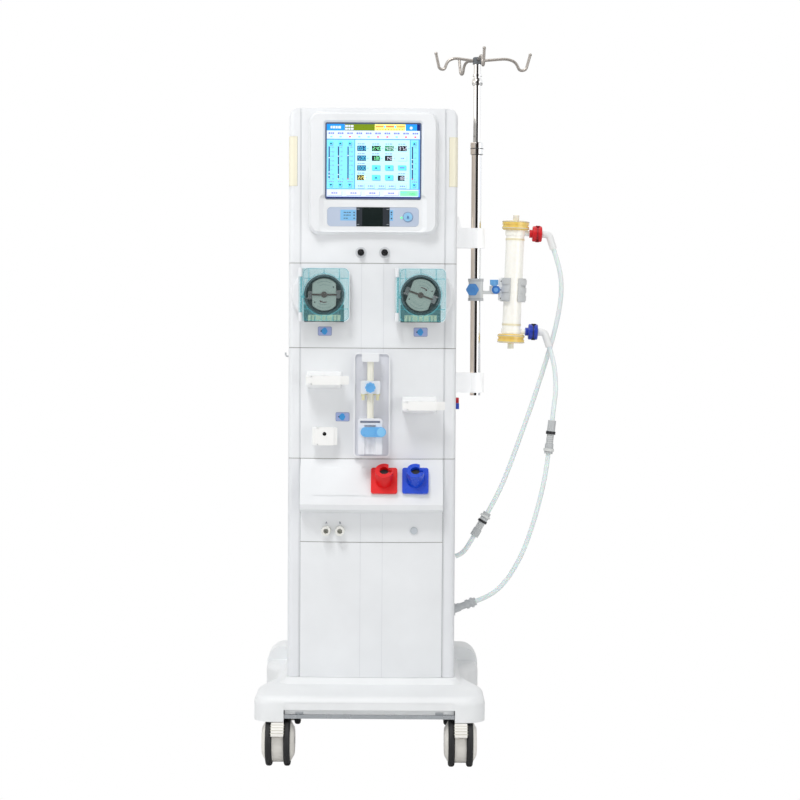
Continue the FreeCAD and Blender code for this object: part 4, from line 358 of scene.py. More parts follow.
# Each lamp: its name, place, the height that it faces, its width and its power.
LAMPS = (
    ("key_lamp", (-0.7, -2.0, 3.6), 0.7, 1.1, 54.0),
    ("fill_lamp", (2.6, -2.8, 1.2), 0.6, 2.2, 26.0),
    ("side_lamp", (-3.0, -1.4, 1.2), 0.6, 2.2, 22.0),
    ("top_lamp", (0.0, 0.8, 3.6), 0.8, 2.4, 16.0))


@dataclass
class Studio:
    """The camera, the lights, the floor and the pale ground behind the machine."""

    camera_place: Triple = (0.0565, -4.095, 0.905)
    pitch: float = -2.47
    roll: float = -0.35
    lens: float = 87.4
    dark_room: float = 0.06
    room_light: float = 0.38

    def camera(self) -> None:
        """Makes the camera at the height and distance that the picture was taken from."""
        data = bpy.data.cameras.new("picture_camera")
        data.lens = self.lens
        data.sensor_width = 36.0
        camera = bpy.data.objects.new("picture_camera", data)
        camera.location = self.camera_place
        camera.rotation_euler = (math.radians(90 + self.pitch), math.radians(self.roll), 0.0)
        bpy.context.scene.collection.objects.link(camera)
        bpy.context.scene.camera = camera

    def lamp(self, name: str, place: Triple, target: Triple, size: float, power: float) -> None:
        """Hangs one soft square lamp that faces a point."""
        data = bpy.data.lights.new(name, "AREA")
        data.size = size
        data.energy = power
        lamp = bpy.data.objects.new(name, data)
        lamp.location = place
        lamp.rotation_euler = (Vector(target) - Vector(place)).to_track_quat("-Z", "Y").to_euler()
        bpy.context.scene.collection.objects.link(lamp)

    def seen_ground(self, tree: bpy.types.NodeTree) -> bpy.types.NodeSocket:
        """Returns 1 for rays that come from the camera, from gloss or through clear parts."""
        rays = tree.nodes.new("ShaderNodeLightPath")
        found = rays.outputs["Is Camera Ray"]
        for name in ("Is Glossy Ray", "Is Transmission Ray"):
            top = tree.nodes.new("ShaderNodeMath")
            top.operation = "MAXIMUM"
            tree.links.new(found, top.inputs[0])
            tree.links.new(rays.outputs[name], top.inputs[1])
            found = top.outputs[0]
        return found

    def room_gloss(self, tree: bpy.types.NodeTree) -> bpy.types.NodeSocket:
        """Returns how bright the room looks: white to the camera, and darker behind the camera in gloss.

        Args:
            tree: The world's nodes.

        Returns:
            The brightness for each direction.
        """
        parts = tree.nodes.new("ShaderNodeSeparateXYZ")
        tree.links.new(tree.nodes.new("ShaderNodeTexCoord").outputs["Generated"], parts.inputs[0])
        fade = tree.nodes.new("ShaderNodeMapRange")
        for socket, value in zip(fade.inputs[1:], (-0.985, -0.90, self.dark_room, 1.0)):
            socket.default_value = value
        tree.links.new(parts.outputs["Y"], fade.inputs[0])
        seen = tree.nodes.new("ShaderNodeMath")
        seen.operation = "MAXIMUM"
        tree.links.new(tree.nodes.new("ShaderNodeLightPath").outputs["Is Camera Ray"], seen.inputs[0])
        tree.links.new(fade.outputs[0], seen.inputs[1])
        return seen.outputs[0]

    def world(self) -> None:
        """Lights the scene from all round at a plain level; what is seen of it is near white."""
        world = bpy.data.worlds.new("pale_room")
        bpy.context.scene.world = world
        world.use_nodes = True
        tree = world.node_tree
        light = tree.nodes["Background"]
        light.inputs[0].default_value = (1.0, 1.0, 1.0, 1.0)
        light.inputs[1].default_value = self.room_light
        ground = tree.nodes.new("ShaderNodeBackground")
        ground.inputs[0].default_value = (1.0, 1.0, 1.0, 1.0)
        tree.links.new(self.room_gloss(tree), ground.inputs[1])
        mix = tree.nodes.new("ShaderNodeMixShader")
        tree.links.new(self.seen_ground(tree), mix.inputs[0])
        tree.links.new(light.outputs[0], mix.inputs[1])
        tree.links.new(ground.outputs[0], mix.inputs[2])
        tree.links.new(mix.outputs[0], tree.nodes["World Output"].inputs[0])

    def floor_paint(self) -> bpy.types.Material:
        """Returns the floor's paint: pale, and plain white where the camera looks at it."""
        paint = Shader("pale_floor")
        paint.surface.inputs["Base Color"].default_value = (0.9, 0.9, 0.9, 1.0)
        paint.surface.inputs["Roughness"].default_value = 0.8
        tree = paint.tree
        white = tree.nodes.new("ShaderNodeEmission")
        mix = tree.nodes.new("ShaderNodeMixShader")
        tree.links.new(tree.nodes.new("ShaderNodeLightPath").outputs["Is Camera Ray"], mix.inputs[0])
        tree.links.new(paint.surface.outputs[0], mix.inputs[1])
        tree.links.new(white.outputs[0], mix.inputs[2])
        tree.links.new(mix.outputs[0], tree.nodes["Material Output"].inputs[0])
        return paint.material

    def floor(self) -> None:
        """Lays the pale floor."""
        mesh = bpy.data.meshes.new("floor")
        reach = 30.0
        corners = [(-reach, -reach, 0), (reach, -reach, 0), (reach, reach, 0), (-reach, reach, 0)]
        mesh.from_pydata(corners, [], [(0, 1, 2, 3)])
        floor = bpy.data.objects.new("floor", mesh)
        bpy.context.scene.collection.objects.link(floor)
        mesh.materials.append(self.floor_paint())

    def build(self) -> None:
        """Sets the whole studio up."""
        scene = bpy.context.scene
        scene.view_settings.view_transform = "Standard"
        self.camera()
        self.world()
        self.floor()
        for name, place, aim, size, power in LAMPS:
            self.lamp(name, place, (0, 0, aim), size, power)
        LOG.info("studio ready")


def bow_y(x: float) -> float:
    """Returns how far forward the bowed front stands at x, in millimetres."""
    return BOW_FRONT + BOW_RADIUS - math.sqrt(BOW_RADIUS ** 2 - x ** 2)


def rounded(x0: float, x1: float, z0: float, z1: float, radius: float, steps: int = 6) -> list[Pair]:
    """Draws a rectangle with round corners, against the clock.

    Args:
        x0: Left side.
        x1: Right side.
        z0: Lower side.
        z1: Upper side.
        radius: Corner radius.
        steps: Pieces of each corner.

    Returns:
        The outline's points.
    """
    points = []
    corners = ((x1 - radius, z0 + radius, -90), (x1 - radius, z1 - radius, 0),
               (x0 + radius, z1 - radius, 90), (x0 + radius, z0 + radius, 180))
    for cx, cz, start in corners:
        for i in range(steps + 1):
            turn = math.radians(start + 90 * i / steps)
            points.append((cx + radius * math.cos(turn), cz + radius * math.sin(turn)))
    return points


def circle(cx: float, cz: float, radius: float, steps: int = 32, start: float = 0.0, sweep: float = 360.0
           ) -> list[Pair]:
    """Draws a circle or, with a sweep under 360 degrees, an arc."""
    count = steps if sweep >= 360 else steps + 1
    return [(cx + radius * math.cos(math.radians(start + sweep * i / steps)),
             cz + radius * math.sin(math.radians(start + sweep * i / steps))) for i in range(count)]


def band(cx: float, cz: float, inner: float, outer: float, start: float, end: float, steps: int = 16
         ) -> list[Pair]:
    """Draws a stretch of a flat ring between two angles."""
    return (circle(cx, cz, outer, steps, start, end - start)
            + circle(cx, cz, inner, steps, end, start - end))


def turned(points: list[Pair], cx: float, cz: float, degrees: float) -> list[Pair]:
    """Turns an outline about a point."""
    c, s = math.cos(math.radians(degrees)), math.sin(math.radians(degrees))
    return [(cx + (x - cx) * c - (z - cz) * s, cz + (x - cx) * s + (z - cz) * c) for x, z in points]


def stroke(start: Pair, end: Pair, wide: float) -> list[Pair]:
    """Draws a straight stroke of that width between two points that lie apart."""
    (x0, z0), (x1, z1) = start, end
    length = math.hypot(x1 - x0, z1 - z0)
    nx, nz = -(z1 - z0) / length * wide / 2, (x1 - x0) / length * wide / 2
    return [(x0 - nx, z0 - nz), (x1 - nx, z1 - nz), (x1 + nx, z1 + nz), (x0 + nx, z0 + nz)]


def tube_faces(rings: int, steps: int) -> list[tuple[int, ...]]:
    """Joins rings of points to a closed tube.

    Args:
        rings: Number of rings.
        steps: Points of each ring.

    Returns:
        The faces between the rings and those of the two ends.
    """
    faces: list[tuple[int, ...]] = []
    for base in range(0, (rings - 1) * steps, steps):
        faces += [(base + i, base + (i + 1) % steps, base + steps + (i + 1) % steps, base + steps + i)
                  for i in range(steps)]
    faces.append(tuple(reversed(range(steps))))
    faces.append(tuple(range((rings - 1) * steps, rings * steps)))
    return faces


class Form:
    """A mesh in the making, in millimetres, with one finish or more."""

    def __init__(self, name: str) -> None:
        """Starts an empty form of that name."""
        self.name = name
        self.points: list[Triple] = []
        self.faces: list[tuple[int, ...]] = []
        self.inks: list[int] = []
        self.finishes: list[Finish] = []

    def ink(self, finish: Finish) -> int:
        """Returns the number of a finish on this form."""
        if finish not in self.finishes:
            self.finishes.append(finish)
        return self.finishes.index(finish)

    def add(self, points: list[Triple], faces: list[tuple[int, ...]], finish: Finish) -> None:
        """Adds points and the faces between them.

        Args:
            points: The new points.
            faces: Faces, by the new points' own numbers.
            finish: What these faces are made of.
        """
        first = len(self.points)
        self.points += points
        self.faces += [tuple(first + i for i in face) for face in faces]
        self.inks += [self.ink(finish)] * len(faces)

    def flat(self, outline: list[Pair], y: float, finish: Finish) -> None:
        """Adds a flat face that looks to the front."""
        self.add([(x, y, z) for x, z in outline], [tuple(range(len(outline)))], finish)

    def slab(self, outline: list[Pair], front: float, back: float, finish: Finish, axis: Axis = Axis.Y,
             chamfer: float = 0.0, hug: bool = False) -> None:
        """Adds a plate with that outline, its front edge eased by a chamfer.

        Args:
            outline: The outline against the clock, seen along the axis from its low end.
            front: Place of the face nearer to the eye along the axis.
            back: Place of the other face.
            finish: What it is made of.
            axis: The axis that the plate's thickness runs along.
            chamfer: Width of the eased edge.
            hug: Whether the plate follows the bowed front; front and back are then set out from it.
        """
        cx = sum(p[0] for p in outline) / len(outline)
        cz = sum(p[1] for p in outline) / len(outline)
        sign = 1 if back > front else -1
        rings = [(front, chamfer), (front + sign * chamfer, 0.0), (back, 0.0)] if chamfer else [
            (front, 0.0), (back, 0.0)]
        points: list[Triple] = []
        for level, inset in rings:
            for u, v in outline:
                reach = max(math.hypot(u - cx, v - cz), 1e-6)
                share = max(0.0, 1 - inset / reach)
                a, b = cx + (u - cx) * share, cz + (v - cz) * share
                place = level + bow_y(a) if hug else level
                points.append({Axis.Y: (a, place, b), Axis.X: (place, a, b), Axis.Z: (a, b, place)}[axis])
        count = len(outline)
        faces = [tuple(range(count)), tuple(reversed(range(count * (len(rings) - 1), count * len(rings))))]
        for ring in range(len(rings) - 1):
            base = ring * count
            faces += [(base + (i + 1) % count, base + i, base + count + i, base + count + (i + 1) % count)
                      for i in range(count)]
        self.add(points, faces, finish)

    def spin(self, profile: list[Pair], centre: Triple, along: Triple, finish: Finish, steps: int = 32) -> None:
        """Turns a profile of (place along the axis, radius) about an axis.

        Args:
            profile: The profile's points.
            centre: Where the axis starts.
            along: Direction of the axis.
            finish: What it is made of.
            steps: Pieces of a full turn.
        """
        way = Vector(along).normalized()
        side = way.orthogonal().normalized()
        other = way.cross(side)
        points: list[Triple] = []
        for place, radius in profile:
            for i in range(steps):
                turn = 2 * math.pi * i / steps
                p = Vector(centre) + way * place + (side * math.cos(turn) + other * math.sin(turn)) * radius
                points.append(tuple(p))
        self.add(points, tube_faces(len(profile), steps), finish)

    def sweep(self, path: list[Triple], radius: float, finish: Finish, steps: int = 12) -> None:
        """Runs a round wire along a path."""
        points: list[Triple] = []
        line = [Vector(p) for p in path]
        side = (line[1] - line[0]).orthogonal().normalized()
        for i, here in enumerate(line):
            way = (line[min(i + 1, len(line) - 1)] - line[max(i - 1, 0)]).normalized()
            side = (side - way * side.dot(way)).normalized()
            other = way.cross(side)
            for k in range(steps):
                turn = 2 * math.pi * k / steps
                points.append(tuple(here + (side * math.cos(turn) + other * math.sin(turn)) * radius))
        self.add(points, tube_faces(len(line), steps), finish)

    def turn_about(self, centre: Triple, axis: Triple, degrees: float) -> None:
        """Turns all that the form holds so far about a line."""
        turn = Matrix.Rotation(math.radians(degrees), 3, Vector(axis))
        self.points = [tuple(turn @ (Vector(p) - Vector(centre)) + Vector(centre)) for p in self.points]

    def make(self, body: str, slot: str | None = None, sharp: float = 35.0, closed: bool = True
             ) -> bpy.types.Object:
        """Turns the form into a piece that rides on a body.

        Args:
            body: The body's name.
            slot: The record's material slot, or None; it is not used.
            sharp: Edges over this angle stay sharp, in degrees.
            closed: Whether it is made of closed solids, whose faces are turned outwards.

        Returns:
            The new object.
        """
        mesh = bpy.data.meshes.new(self.name)
        mesh.from_pydata([tuple(c * MM for c in p) for p in self.points], [], self.faces)
        for finish in self.finishes:
            mesh.materials.append(finish.material())
        mesh.polygons.foreach_set("material_index", self.inks)
        mesh.validate()
        if closed:
            work = bmesh.new()
            work.from_mesh(mesh)
            bmesh.ops.recalc_face_normals(work, faces=work.faces)
            work.to_mesh(mesh)
            work.free()
        mesh.shade_smooth()
        mesh.set_sharp_from_angle(angle=math.radians(sharp))
        piece = bpy.data.objects.new(self.name, mesh)
        bpy.context.scene.collection.objects.link(piece)
        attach(piece, body)
        LOG.info("%s: %d faces on %s", self.name, len(self.faces), body)
        return piece


def lit(name: str, red: float, green: float, blue: float, strength: float = 0.6) -> Finish:
    """Returns the finish of a lit part of a display, over a darker ground."""
    tone = srgb(red, green, blue)
    return Finish(name, tone, 0.3, glow=strength, clouds=0.03, cloud_scale=60.0, grain=0.02)


class Ink(Enum):
    """The colours of the drawn display."""

    GROUND = lit("display_pale_cyan", 178, 224, 238)
    PANEL = lit("display_cyan", 122, 206, 236)
    LABELS = lit("display_white_blue", 200, 214, 240)
    KEY_WHITE = lit("display_white", 206, 210, 230)
    LINE = lit("display_line_blue", 78, 150, 225)
    BAR = lit("display_bar_blue", 30, 140, 240)
    NAVY = lit("display_navy", 16, 26, 96)
    SHADE = lit("display_shade", 120, 150, 190)
    KEY = lit("display_key_cyan", 92, 208, 236)
    GREEN = lit("display_green", 130, 245, 170)
    LAMP_GREEN = lit("display_lamp_green", 110, 240, 205)
    RED = lit("display_red", 250, 20, 40)
    OLIVE = lit("display_olive", 104, 126, 14)
    YELLOW = lit("display_yellow", 255, 240, 130)
    ORANGE = lit("display_orange", 230, 110, 50)
    DARK = lit("display_dark", 22, 28, 34)
    DEEP_GREEN = lit("display_deep_green", 40, 130, 90)
    TEXT = lit("display_text_violet", 110, 120, 225)
    DIM = lit("display_text_grey", 120, 150, 190)


SEGMENTS = {"0": "abcdef", "1": "bc", "2": "abged", "3": "abgcd", "4": "fgbc", "5": "afgcd", "6": "afgedc",
            "7": "abc", "8": "abcdefg", "9": "abcdfg", "-": "g", " ": ""}


FOIL_BLUE = Finish("foil_blue", srgb(132, 194, 238), 0.4, clouds=0.02, grain=0.2, grain_scale=2600.0)
PRINT = Finish("print_dark", srgb(62, 74, 96), 0.5, clouds=0.05)


@dataclass
class Monitor:
    """The display, the key strip, the alarm key, the status lamps and the pressure jacks."""

    left: float = -95.0
    right: float = 95.0
    low: float = 1146.0
    high: float = 1296.0
    ground: float = -113.32
    layer: float = 0.07
    strip_face: float = -113.0
    strip_middle: float = 1107.5
    display: Form = field(default_factory=lambda: Form("display_picture"))

    def at(self, u: float, v: float) -> Pair:
        """Returns the place of a point that is given in shares of the display, from its upper left."""
        return self.left + u * (self.right - self.left), self.high - v * (self.high - self.low)

    def tile(self, u0: float, u1: float, v0: float, v1: float, ink: Ink, level: int = 1, radius: float = 0.5
             ) -> None:
        """Draws a filled tile of the display."""
        x0, z1 = self.at(u0, v0)
        x1, z0 = self.at(u1, v1)
        self.display.flat(rounded(x0, x1, z0, z1, min(radius, (x1 - x0) / 2.1, (z1 - z0) / 2.1), 3),
                          self.ground - level * self.layer, ink.value)

    def number(self, text: str, u: float, v: float, height: float, ink: Ink, level: int = 3) -> None:
        """Draws plain digits as seven bars each.

        Args:
            text: The digits.
            u: Place of the left end.
            v: Place of the middle line.
            height: Height of a digit in millimetres.
            ink: Their colour.
            level: Layer above the ground.
        """
        x, middle = self.at(u, v)
        half, wide, stroke = height / 2, height * 0.5, height * 0.15
        y = self.ground - level * self.layer
        for sign in text:
            if sign == ".":
                self.display.flat(circle(x - stroke, middle - half + stroke / 2, stroke * 0.7, 8), y, ink.value)
                x += stroke
                continue
            rows = {"a": half, "g": 0.0, "d": -half}
            for bar in SEGMENTS[sign]:
                if bar in rows:
                    z = middle + rows[bar]
                    box = (x + stroke / 2, x + wide - stroke / 2, z - stroke / 2, z + stroke / 2)
                else:
                    side = x if bar in "ef" else x + wide
                    z0 = middle if bar in "fb" else middle - half
                    box = (side - stroke / 2, side + stroke / 2, z0 + stroke / 4, z0 + half - stroke / 4)
                self.display.flat(rounded(*box, stroke * 0.3, 2), y, ink.value)
            x += wide + stroke * 2.2

    def arrow(self, u: float, v: float, up: bool, wide: float, tall: float) -> None:
        """Draws a raised key with a dark arrow on it."""
        self.tile(u - wide / 2 + 0.004, u + wide / 2 + 0.006, v - tall / 2 + 0.006, v + tall / 2 + 0.009,
                  Ink.SHADE, 2)
        self.tile(u - wide / 2, u + wide / 2, v - tall / 2, v + tall / 2, Ink.KEY, 3)
        x, z = self.at(u, v)
        reach, rise = 2.6, 1.9 if up else -1.9
        tip = [(x - reach, z - rise), (x + reach, z - rise), (x, z + rise)]
        self.display.flat(tip if up else tip[::-1], self.ground - 4 * self.layer, Ink.NAVY.value)

    def dashes(self, u: float, v: float, shares: tuple[float, ...], ink: Ink, level: int = 2,
               tall: float = 0.014) -> None:
        """Draws a row of short strokes that stands for small print, with no letters in it."""
        for share in shares:
            self.tile(u, u + share, v - tall / 2, v + tall / 2, ink, level, 0.3)
            u += share + 0.005

    def gauge(self, u: float, wide: float, marks: tuple[str, ...], stops: tuple[float, ...],
              needle: Ink) -> None:
        """Draws an upright bar gauge with its numbered scale and its two arrow keys.

        Args:
            u: Place of the bar.
            wide: Width of the whole gauge.
            marks: The numbers of the scale, from the top.
            stops: Heights of the breaks in the bar.
            needle: Colour of the lowest mark.
        """
        self.arrow(u + wide * 0.25, 0.262, True, 0.036, 0.05)
        self.arrow(u + wide * 0.25, 0.827, False, 0.036, 0.05)
        self.tile(u, u + 0.012, 0.305, 0.752, Ink.NAVY, 2, 0.3)
        for stop in stops:
            self.tile(u - 0.002, u + 0.014, stop, stop + 0.012, Ink.KEY_WHITE, 3, 0.3)
        self.tile(u - 0.002, u + 0.014, 0.738, 0.748, needle, 4, 0.3)
        for i, mark in enumerate(marks):
            v = 0.315 + i * 0.43 / (len(marks) - 1)
            self.tile(u + 0.018, u + 0.026, v - 0.002, v + 0.002, Ink.LINE, 2, 0.1)
            self.number(mark, u + 0.031, v, 2.3, Ink.TEXT, 2)
        self.dashes(u + 0.002, 0.782, (0.014, 0.018, 0.012), Ink.DIM)

    def readout(self, u: float, v: float, text: str, ground: Ink, ink: Ink, wide: float = 0.096) -> None:
        """Draws a numeric window with its short caption above."""
        self.tile(u, u + wide, v - 0.036, v + 0.036, ground, 2, 0.8)
        self.number(text, u + 0.012, v, 6.6, ink)
        self.dashes(u + 0.004, v - 0.06, (0.022, 0.014, 0.03), Ink.DIM)
        self.dashes(u + wide + 0.01, v + 0.002, (0.008, 0.006), Ink.DIM)

    def key(self, u0: float, u1: float, v0: float, v1: float, ink: Ink, shares: tuple[float, ...] = ()) -> None:
        """Draws a raised key with a shaded lower edge."""
        self.tile(u0 + 0.003, u1 + 0.004, v0 + 0.005, v1 + 0.006, Ink.SHADE, 2, 0.8)
        self.tile(u0, u1, v0, v1, ink, 3, 0.8)
        if shares:
            start = (u0 + u1) / 2 - (sum(shares) + 0.005 * (len(shares) - 1)) / 2
            self.dashes(start, (v0 + v1) / 2, shares, Ink.TEXT, 4, 0.016)

    def head_rows(self) -> None:
        """Draws the coloured bar on top and the row of small state lamps."""
        self.tile(0, 0.19, 0, 0.088, Ink.BAR, 1)
        self.dashes(0.04, 0.044, (0.018, 0.026, 0.022, 0.03), Ink.KEY_WHITE, 2, 0.034)
        self.tile(0.19, 0.295, 0, 0.088, Ink.OLIVE, 1)
        for v in (0.026, 0.064):
            self.dashes(0.196, v, (0.03, 0.02, 0.03), Ink.KEY_WHITE, 2, 0.026)
        self.tile(0.295, 0.515, 0, 0.088, Ink.OLIVE, 1)
        self.tile(0.515, 0.845, 0, 0.088, Ink.YELLOW, 1)
        self.tile(0.523, 0.61, 0.026, 0.042, Ink.ORANGE, 2)
        self.tile(0.612, 0.632, 0.016, 0.052, Ink.KEY, 3)
        self.tile(0.634, 0.722, 0.026, 0.042, Ink.RED, 2)
        self.tile(0.724, 0.744, 0.016, 0.052, Ink.KEY, 3)
        self.tile(0.746, 0.838, 0.026, 0.042, Ink.ORANGE, 2)
        for i in range(10):
            self.tile(0.535 + i * 0.03, 0.547 + i * 0.03, 0.066, 0.082, Ink.OLIVE, 2)
        self.tile(0.845, 0.968, 0, 0.088, Ink.BAR, 1)
        x, z = self.at(0.905, 0.05)
        self.display.flat(circle(x, z, 3.0, 20), self.ground - 2 * self.layer, Ink.KEY_WHITE.value)
        self.tile(0.968, 1.0, 0, 0.088, Ink.NAVY, 1)
        self.tile(0, 1, 0.088, 0.2, Ink.LABELS, 1)
        lamps = (0, 0, 1, 0, 0, 1, 1, 0, 1, 1)
        for i, warning in enumerate(lamps):
            u = 0.048 + i * 0.1003
            self.dashes(u - 0.03, 0.125, (0.02, 0.012, 0.018), Ink.TEXT, 2, 0.022)
            self.tile(u - 0.012, u + 0.012, 0.164, 0.181, Ink.RED if warning else Ink.LAMP_GREEN, 2, 0.9)
        self.tile(0, 1, 0.2, 0.213, Ink.LINE, 2)

    def middle_field(self) -> None:
        """Draws the numeric windows and keys between the gauges."""
        self.tile(0.305, 0.893, 0.213, 0.875, Ink.GROUND, 1)
        self.tile(0.297, 0.306, 0.213, 0.875, Ink.LINE, 2)
        self.tile(0.892, 0.9, 0.213, 0.875, Ink.LINE, 2)
        for v in (0.39, 0.52, 0.65, 0.785):
            self.tile(0.32, 0.88, v, v + 0.003, Ink.LABELS, 2)
        self.readout(0.327, 0.328, "003", Ink.NAVY, Ink.KEY)
        self.readout(0.484, 0.328, "2.40", Ink.DARK, Ink.GREEN)
        self.readout(0.624, 0.328, "4.05", Ink.DEEP_GREEN, Ink.KEY_WHITE)
        self.readout(0.764, 0.328, "37.2", Ink.DARK, Ink.KEY_WHITE)
        self.readout(0.327, 0.461, "500", Ink.NAVY, Ink.KEY)
        self.readout(0.484, 0.461, "1.80", Ink.DARK, Ink.GREEN, 0.088)
        self.readout(0.624, 0.461, "14.0", Ink.DARK, Ink.KEY_WHITE, 0.08)
        self.key(0.765, 0.86, 0.428, 0.495, Ink.GROUND, (0.012, 0.02))
        self.readout(0.327, 0.594, "000", Ink.NAVY, Ink.KEY)
        self.readout(0.327, 0.724, "220", Ink.DARK, Ink.YELLOW, 0.075)
        self.readout(0.764, 0.73, "180", Ink.DARK, Ink.KEY_WHITE, 0.075)
        for v in (0.59, 0.723):
            self.arrow(0.53, v, True, 0.088, 0.072)
            self.arrow(0.67, v, False, 0.088, 0.072)
        self.key(0.765, 0.855, 0.555, 0.622, Ink.KEY, (0.05,))
        for u0, u1 in ((0.33, 0.405), (0.435, 0.512), (0.548, 0.63), (0.66, 0.74), (0.775, 0.855)):
            self.key(u0, u1, 0.812, 0.865, Ink.GROUND, (0.014, 0.022, 0.012))

    def foot_row(self) -> None:
        """Draws the row of large keys at the foot of the display."""
        self.tile(0, 1, 0.875, 0.884, Ink.LINE, 2)
        self.tile(0, 1, 0.884, 0.982, Ink.LABELS, 1)
        for u0, u1 in ((0.005, 0.163), (0.21, 0.368), (0.415, 0.568), (0.612, 0.776)):
            self.key(u0, u1, 0.905, 0.965, Ink.KEY_WHITE, (0.02, 0.014, 0.02))
        self.tile(0.79, 0.982, 0.902, 0.972, Ink.GREEN, 3)
        self.dashes(0.8, 0.925, (0.02, 0.02, 0.01), Ink.LAMP_GREEN, 4)
        self.number("14.05", 0.885, 0.945, 4.0, Ink.NAVY, 4)
        self.tile(0, 1, 0.984, 1.0, Ink.NAVY, 1)

    def draw(self) -> None:
        """Draws the whole display in its recess."""
        self.tile(0, 1, 0, 1, Ink.LABELS, 0, 1.0)
        self.tile(0, 0.3, 0.2, 0.876, Ink.PANEL, 1)
        self.tile(0.896, 0.985, 0.2, 0.876, Ink.PANEL, 1)
        self.tile(0.985, 1, 0.2, 0.984, Ink.LINE, 1)
        self.head_rows()
        tens = ("500", "400", "300", "200", "100", "0", "-50", "-99")
        self.gauge(0.02, 0.1, tens, (0.452, 0.645, 0.69), Ink.KEY_WHITE)
        self.gauge(0.12, 0.1, ("60", "50", "40", "30", "20", "10", "0", "-10"), (0.43, 0.55, 0.68), Ink.YELLOW)
        self.gauge(0.223, 0.1, tens, (0.42,), Ink.RED)
        self.gauge(0.915, 0.1, ("30", "25", "20", "15", "10", "5", "0"), (0.47, 0.53, 0.6), Ink.RED)
        self.middle_field()
        self.foot_row()
        self.display.make("root", "display", closed=False)

    def key_strip(self) -> None:
        """Prints the key strip: blue fields, small marks, the window's frame and the small green lamp."""
        form = Form("key_strip_print")
        y = self.strip_face
        low, high = self.strip_middle - 7.7, self.strip_middle + 14.3
        form.slab(rounded(-66.8, -34.4, low, high, 1.0), y - 0.12, y + 0.1, FOIL_BLUE)
        form.slab(rounded(34.4, 41.2, low, high, 1.0), y - 0.12, y + 0.1, FOIL_BLUE)
        for row, z in enumerate((high - 5.4, high - 11.0, high - 17.3)):
            u = -60.0
            for wide in ((5.0, 3.2, 4.2), (4.0, 5.6, 2.6), (3.0, 4.4))[row]:
                form.slab(rounded(u, u + wide, z - 0.8, z + 0.8, 0.4, 2), y - 0.2, y, PRINT)
                u += wide + 1.1
            form.slab(circle(-38.6, z, 1.5, 16), y - 0.2, y, PRINT)
        for z, size in ((high - 5.0, 1.7), (high - 9.5, 1.2), (high - 17.5, 1.6)):
            form.slab(circle(37.8, z, size, 16), y - 0.2, y, PRINT)
        for x in (-30.5, 30.5):
            for z in (self.strip_middle - 15.5, self.strip_middle + 15.5):
                form.slab(rounded(x - 2.6, x + 2.6, z - 0.6, z + 0.6, 0.4, 2), y - 0.95, y - 0.7,
                          Finish("window_marks", srgb(150, 156, 160), 0.5))
        form.spin([(0, 2.2), (0.9, 1.9), (1.2, 1.0), (1.3, 0.1)], (58.4, y + 0.05, self.strip_middle - 1.5),
                  (0, -1, 0), lit("lamp_green_small", 110, 235, 160), 20)
        form.make("root", "key_foil")
        ring = Form("alarm_key_ring")
        ring.slab(band(71.5, self.strip_middle, 9.9, 10.6, 0, 359.9, 48), y - 0.4, y + 0.1,
                  Finish("key_ring", srgb(116, 150, 192), 0.4))
        ring.make("root", "key_foil")
        sign = Form("alarm_key_sign")
        face = y - 1.6
        blue = Finish("key_sign_blue", srgb(84, 122, 176), 0.4)
        bell = [(68.6, 1104.6), (74.4, 1104.6), (73.4, 1105.8), (73.1, 1108.6), (72.2, 1110.2),
                (70.8, 1110.2), (69.9, 1108.6), (69.6, 1105.8)]
        sign.slab(bell, face - 0.15, face + 0.1, blue)
        sign.slab(circle(71.5, 1103.7, 0.9, 12), face - 0.15, face + 0.1, blue)
        sign.make("mute_key", "alarm_key")

    def jacks(self) -> None:
        """Adds the turned rims of the two pressure jacks."""
        for hand, x in (("left", -24.3), ("right", 24.3)):
            rim = Form(f"pressure_jack_{hand}_rim")
            rim.spin([(0, 8.9), (0, 11.2), (0.8, 11.6), (1.7, 11.0), (1.9, 8.9)], (x, bow_y(x) + 0.3, 1035.0),
                     (0, -1, 0), Finish("jack_rim_white", PALE_GREY, 0.4), 40)
            rim.make("root", "port_plastic")

    def build(self) -> None:
        """Dresses the monitor's nodes and adds the drawn display."""
        dress("monitor_housing", BODY)
        dress("touch_screen", Finish("screen_frame", srgb(88, 104, 136), 0.3))
        border = srgb(56, 60, 66)
        window = (Zone(srgb(24, 34, 33), 0.16, low=(-34.0, None, None), high=(34.0, None, None)),
                  Zone(border, 0.35, low=(-34.0, None, None), high=(-22.0, None, None)),
                  Zone(border, 0.35, low=(20.0, None, None), high=(34.0, None, None)))
        dress("control_panel", Finish("strip_foil", srgb(190, 202, 222), 0.4, grain=0.2, grain_scale=2600.0,
                                      zones=window))
        dress("mute_button", Finish("alarm_key_blue", srgb(150, 204, 240), 0.35, coat=0.2))
        dress("status_lamps", Finish("lamp_lens", srgb(255, 251, 236), 0.2, glow=0.5, coat=0.4, clouds=0.03))
        dress("front_ports", Finish("jack_black", srgb(22, 23, 26), 0.35, zones=(
            Zone(srgb(232, 232, 226), 0.35, high=(40.0, None, 600.0)),
            Zone(srgb(196, 202, 208), 0.4, low=(40.0, None, None), high=(None, None, 600.0)))))
        self.draw()
        self.key_strip()
        self.jacks()
        LOG.info("monitor dressed")


STEEL = Finish("turned_steel", srgb(206, 208, 210), 0.22, metal=1.0, grain=0.08, clouds=0.08)
TEAL = srgb(150, 222, 228)
TEAL_EDGE = Finish("teal_edge", srgb(96, 204, 216), 0.15, alpha=0.42, coat=0.5, clouds=0.05, grain=0.02)
LIGHT_BLUE = Finish("light_blue_plastic", srgb(112, 184, 238), 0.3, coat=0.25, soft=0.1)


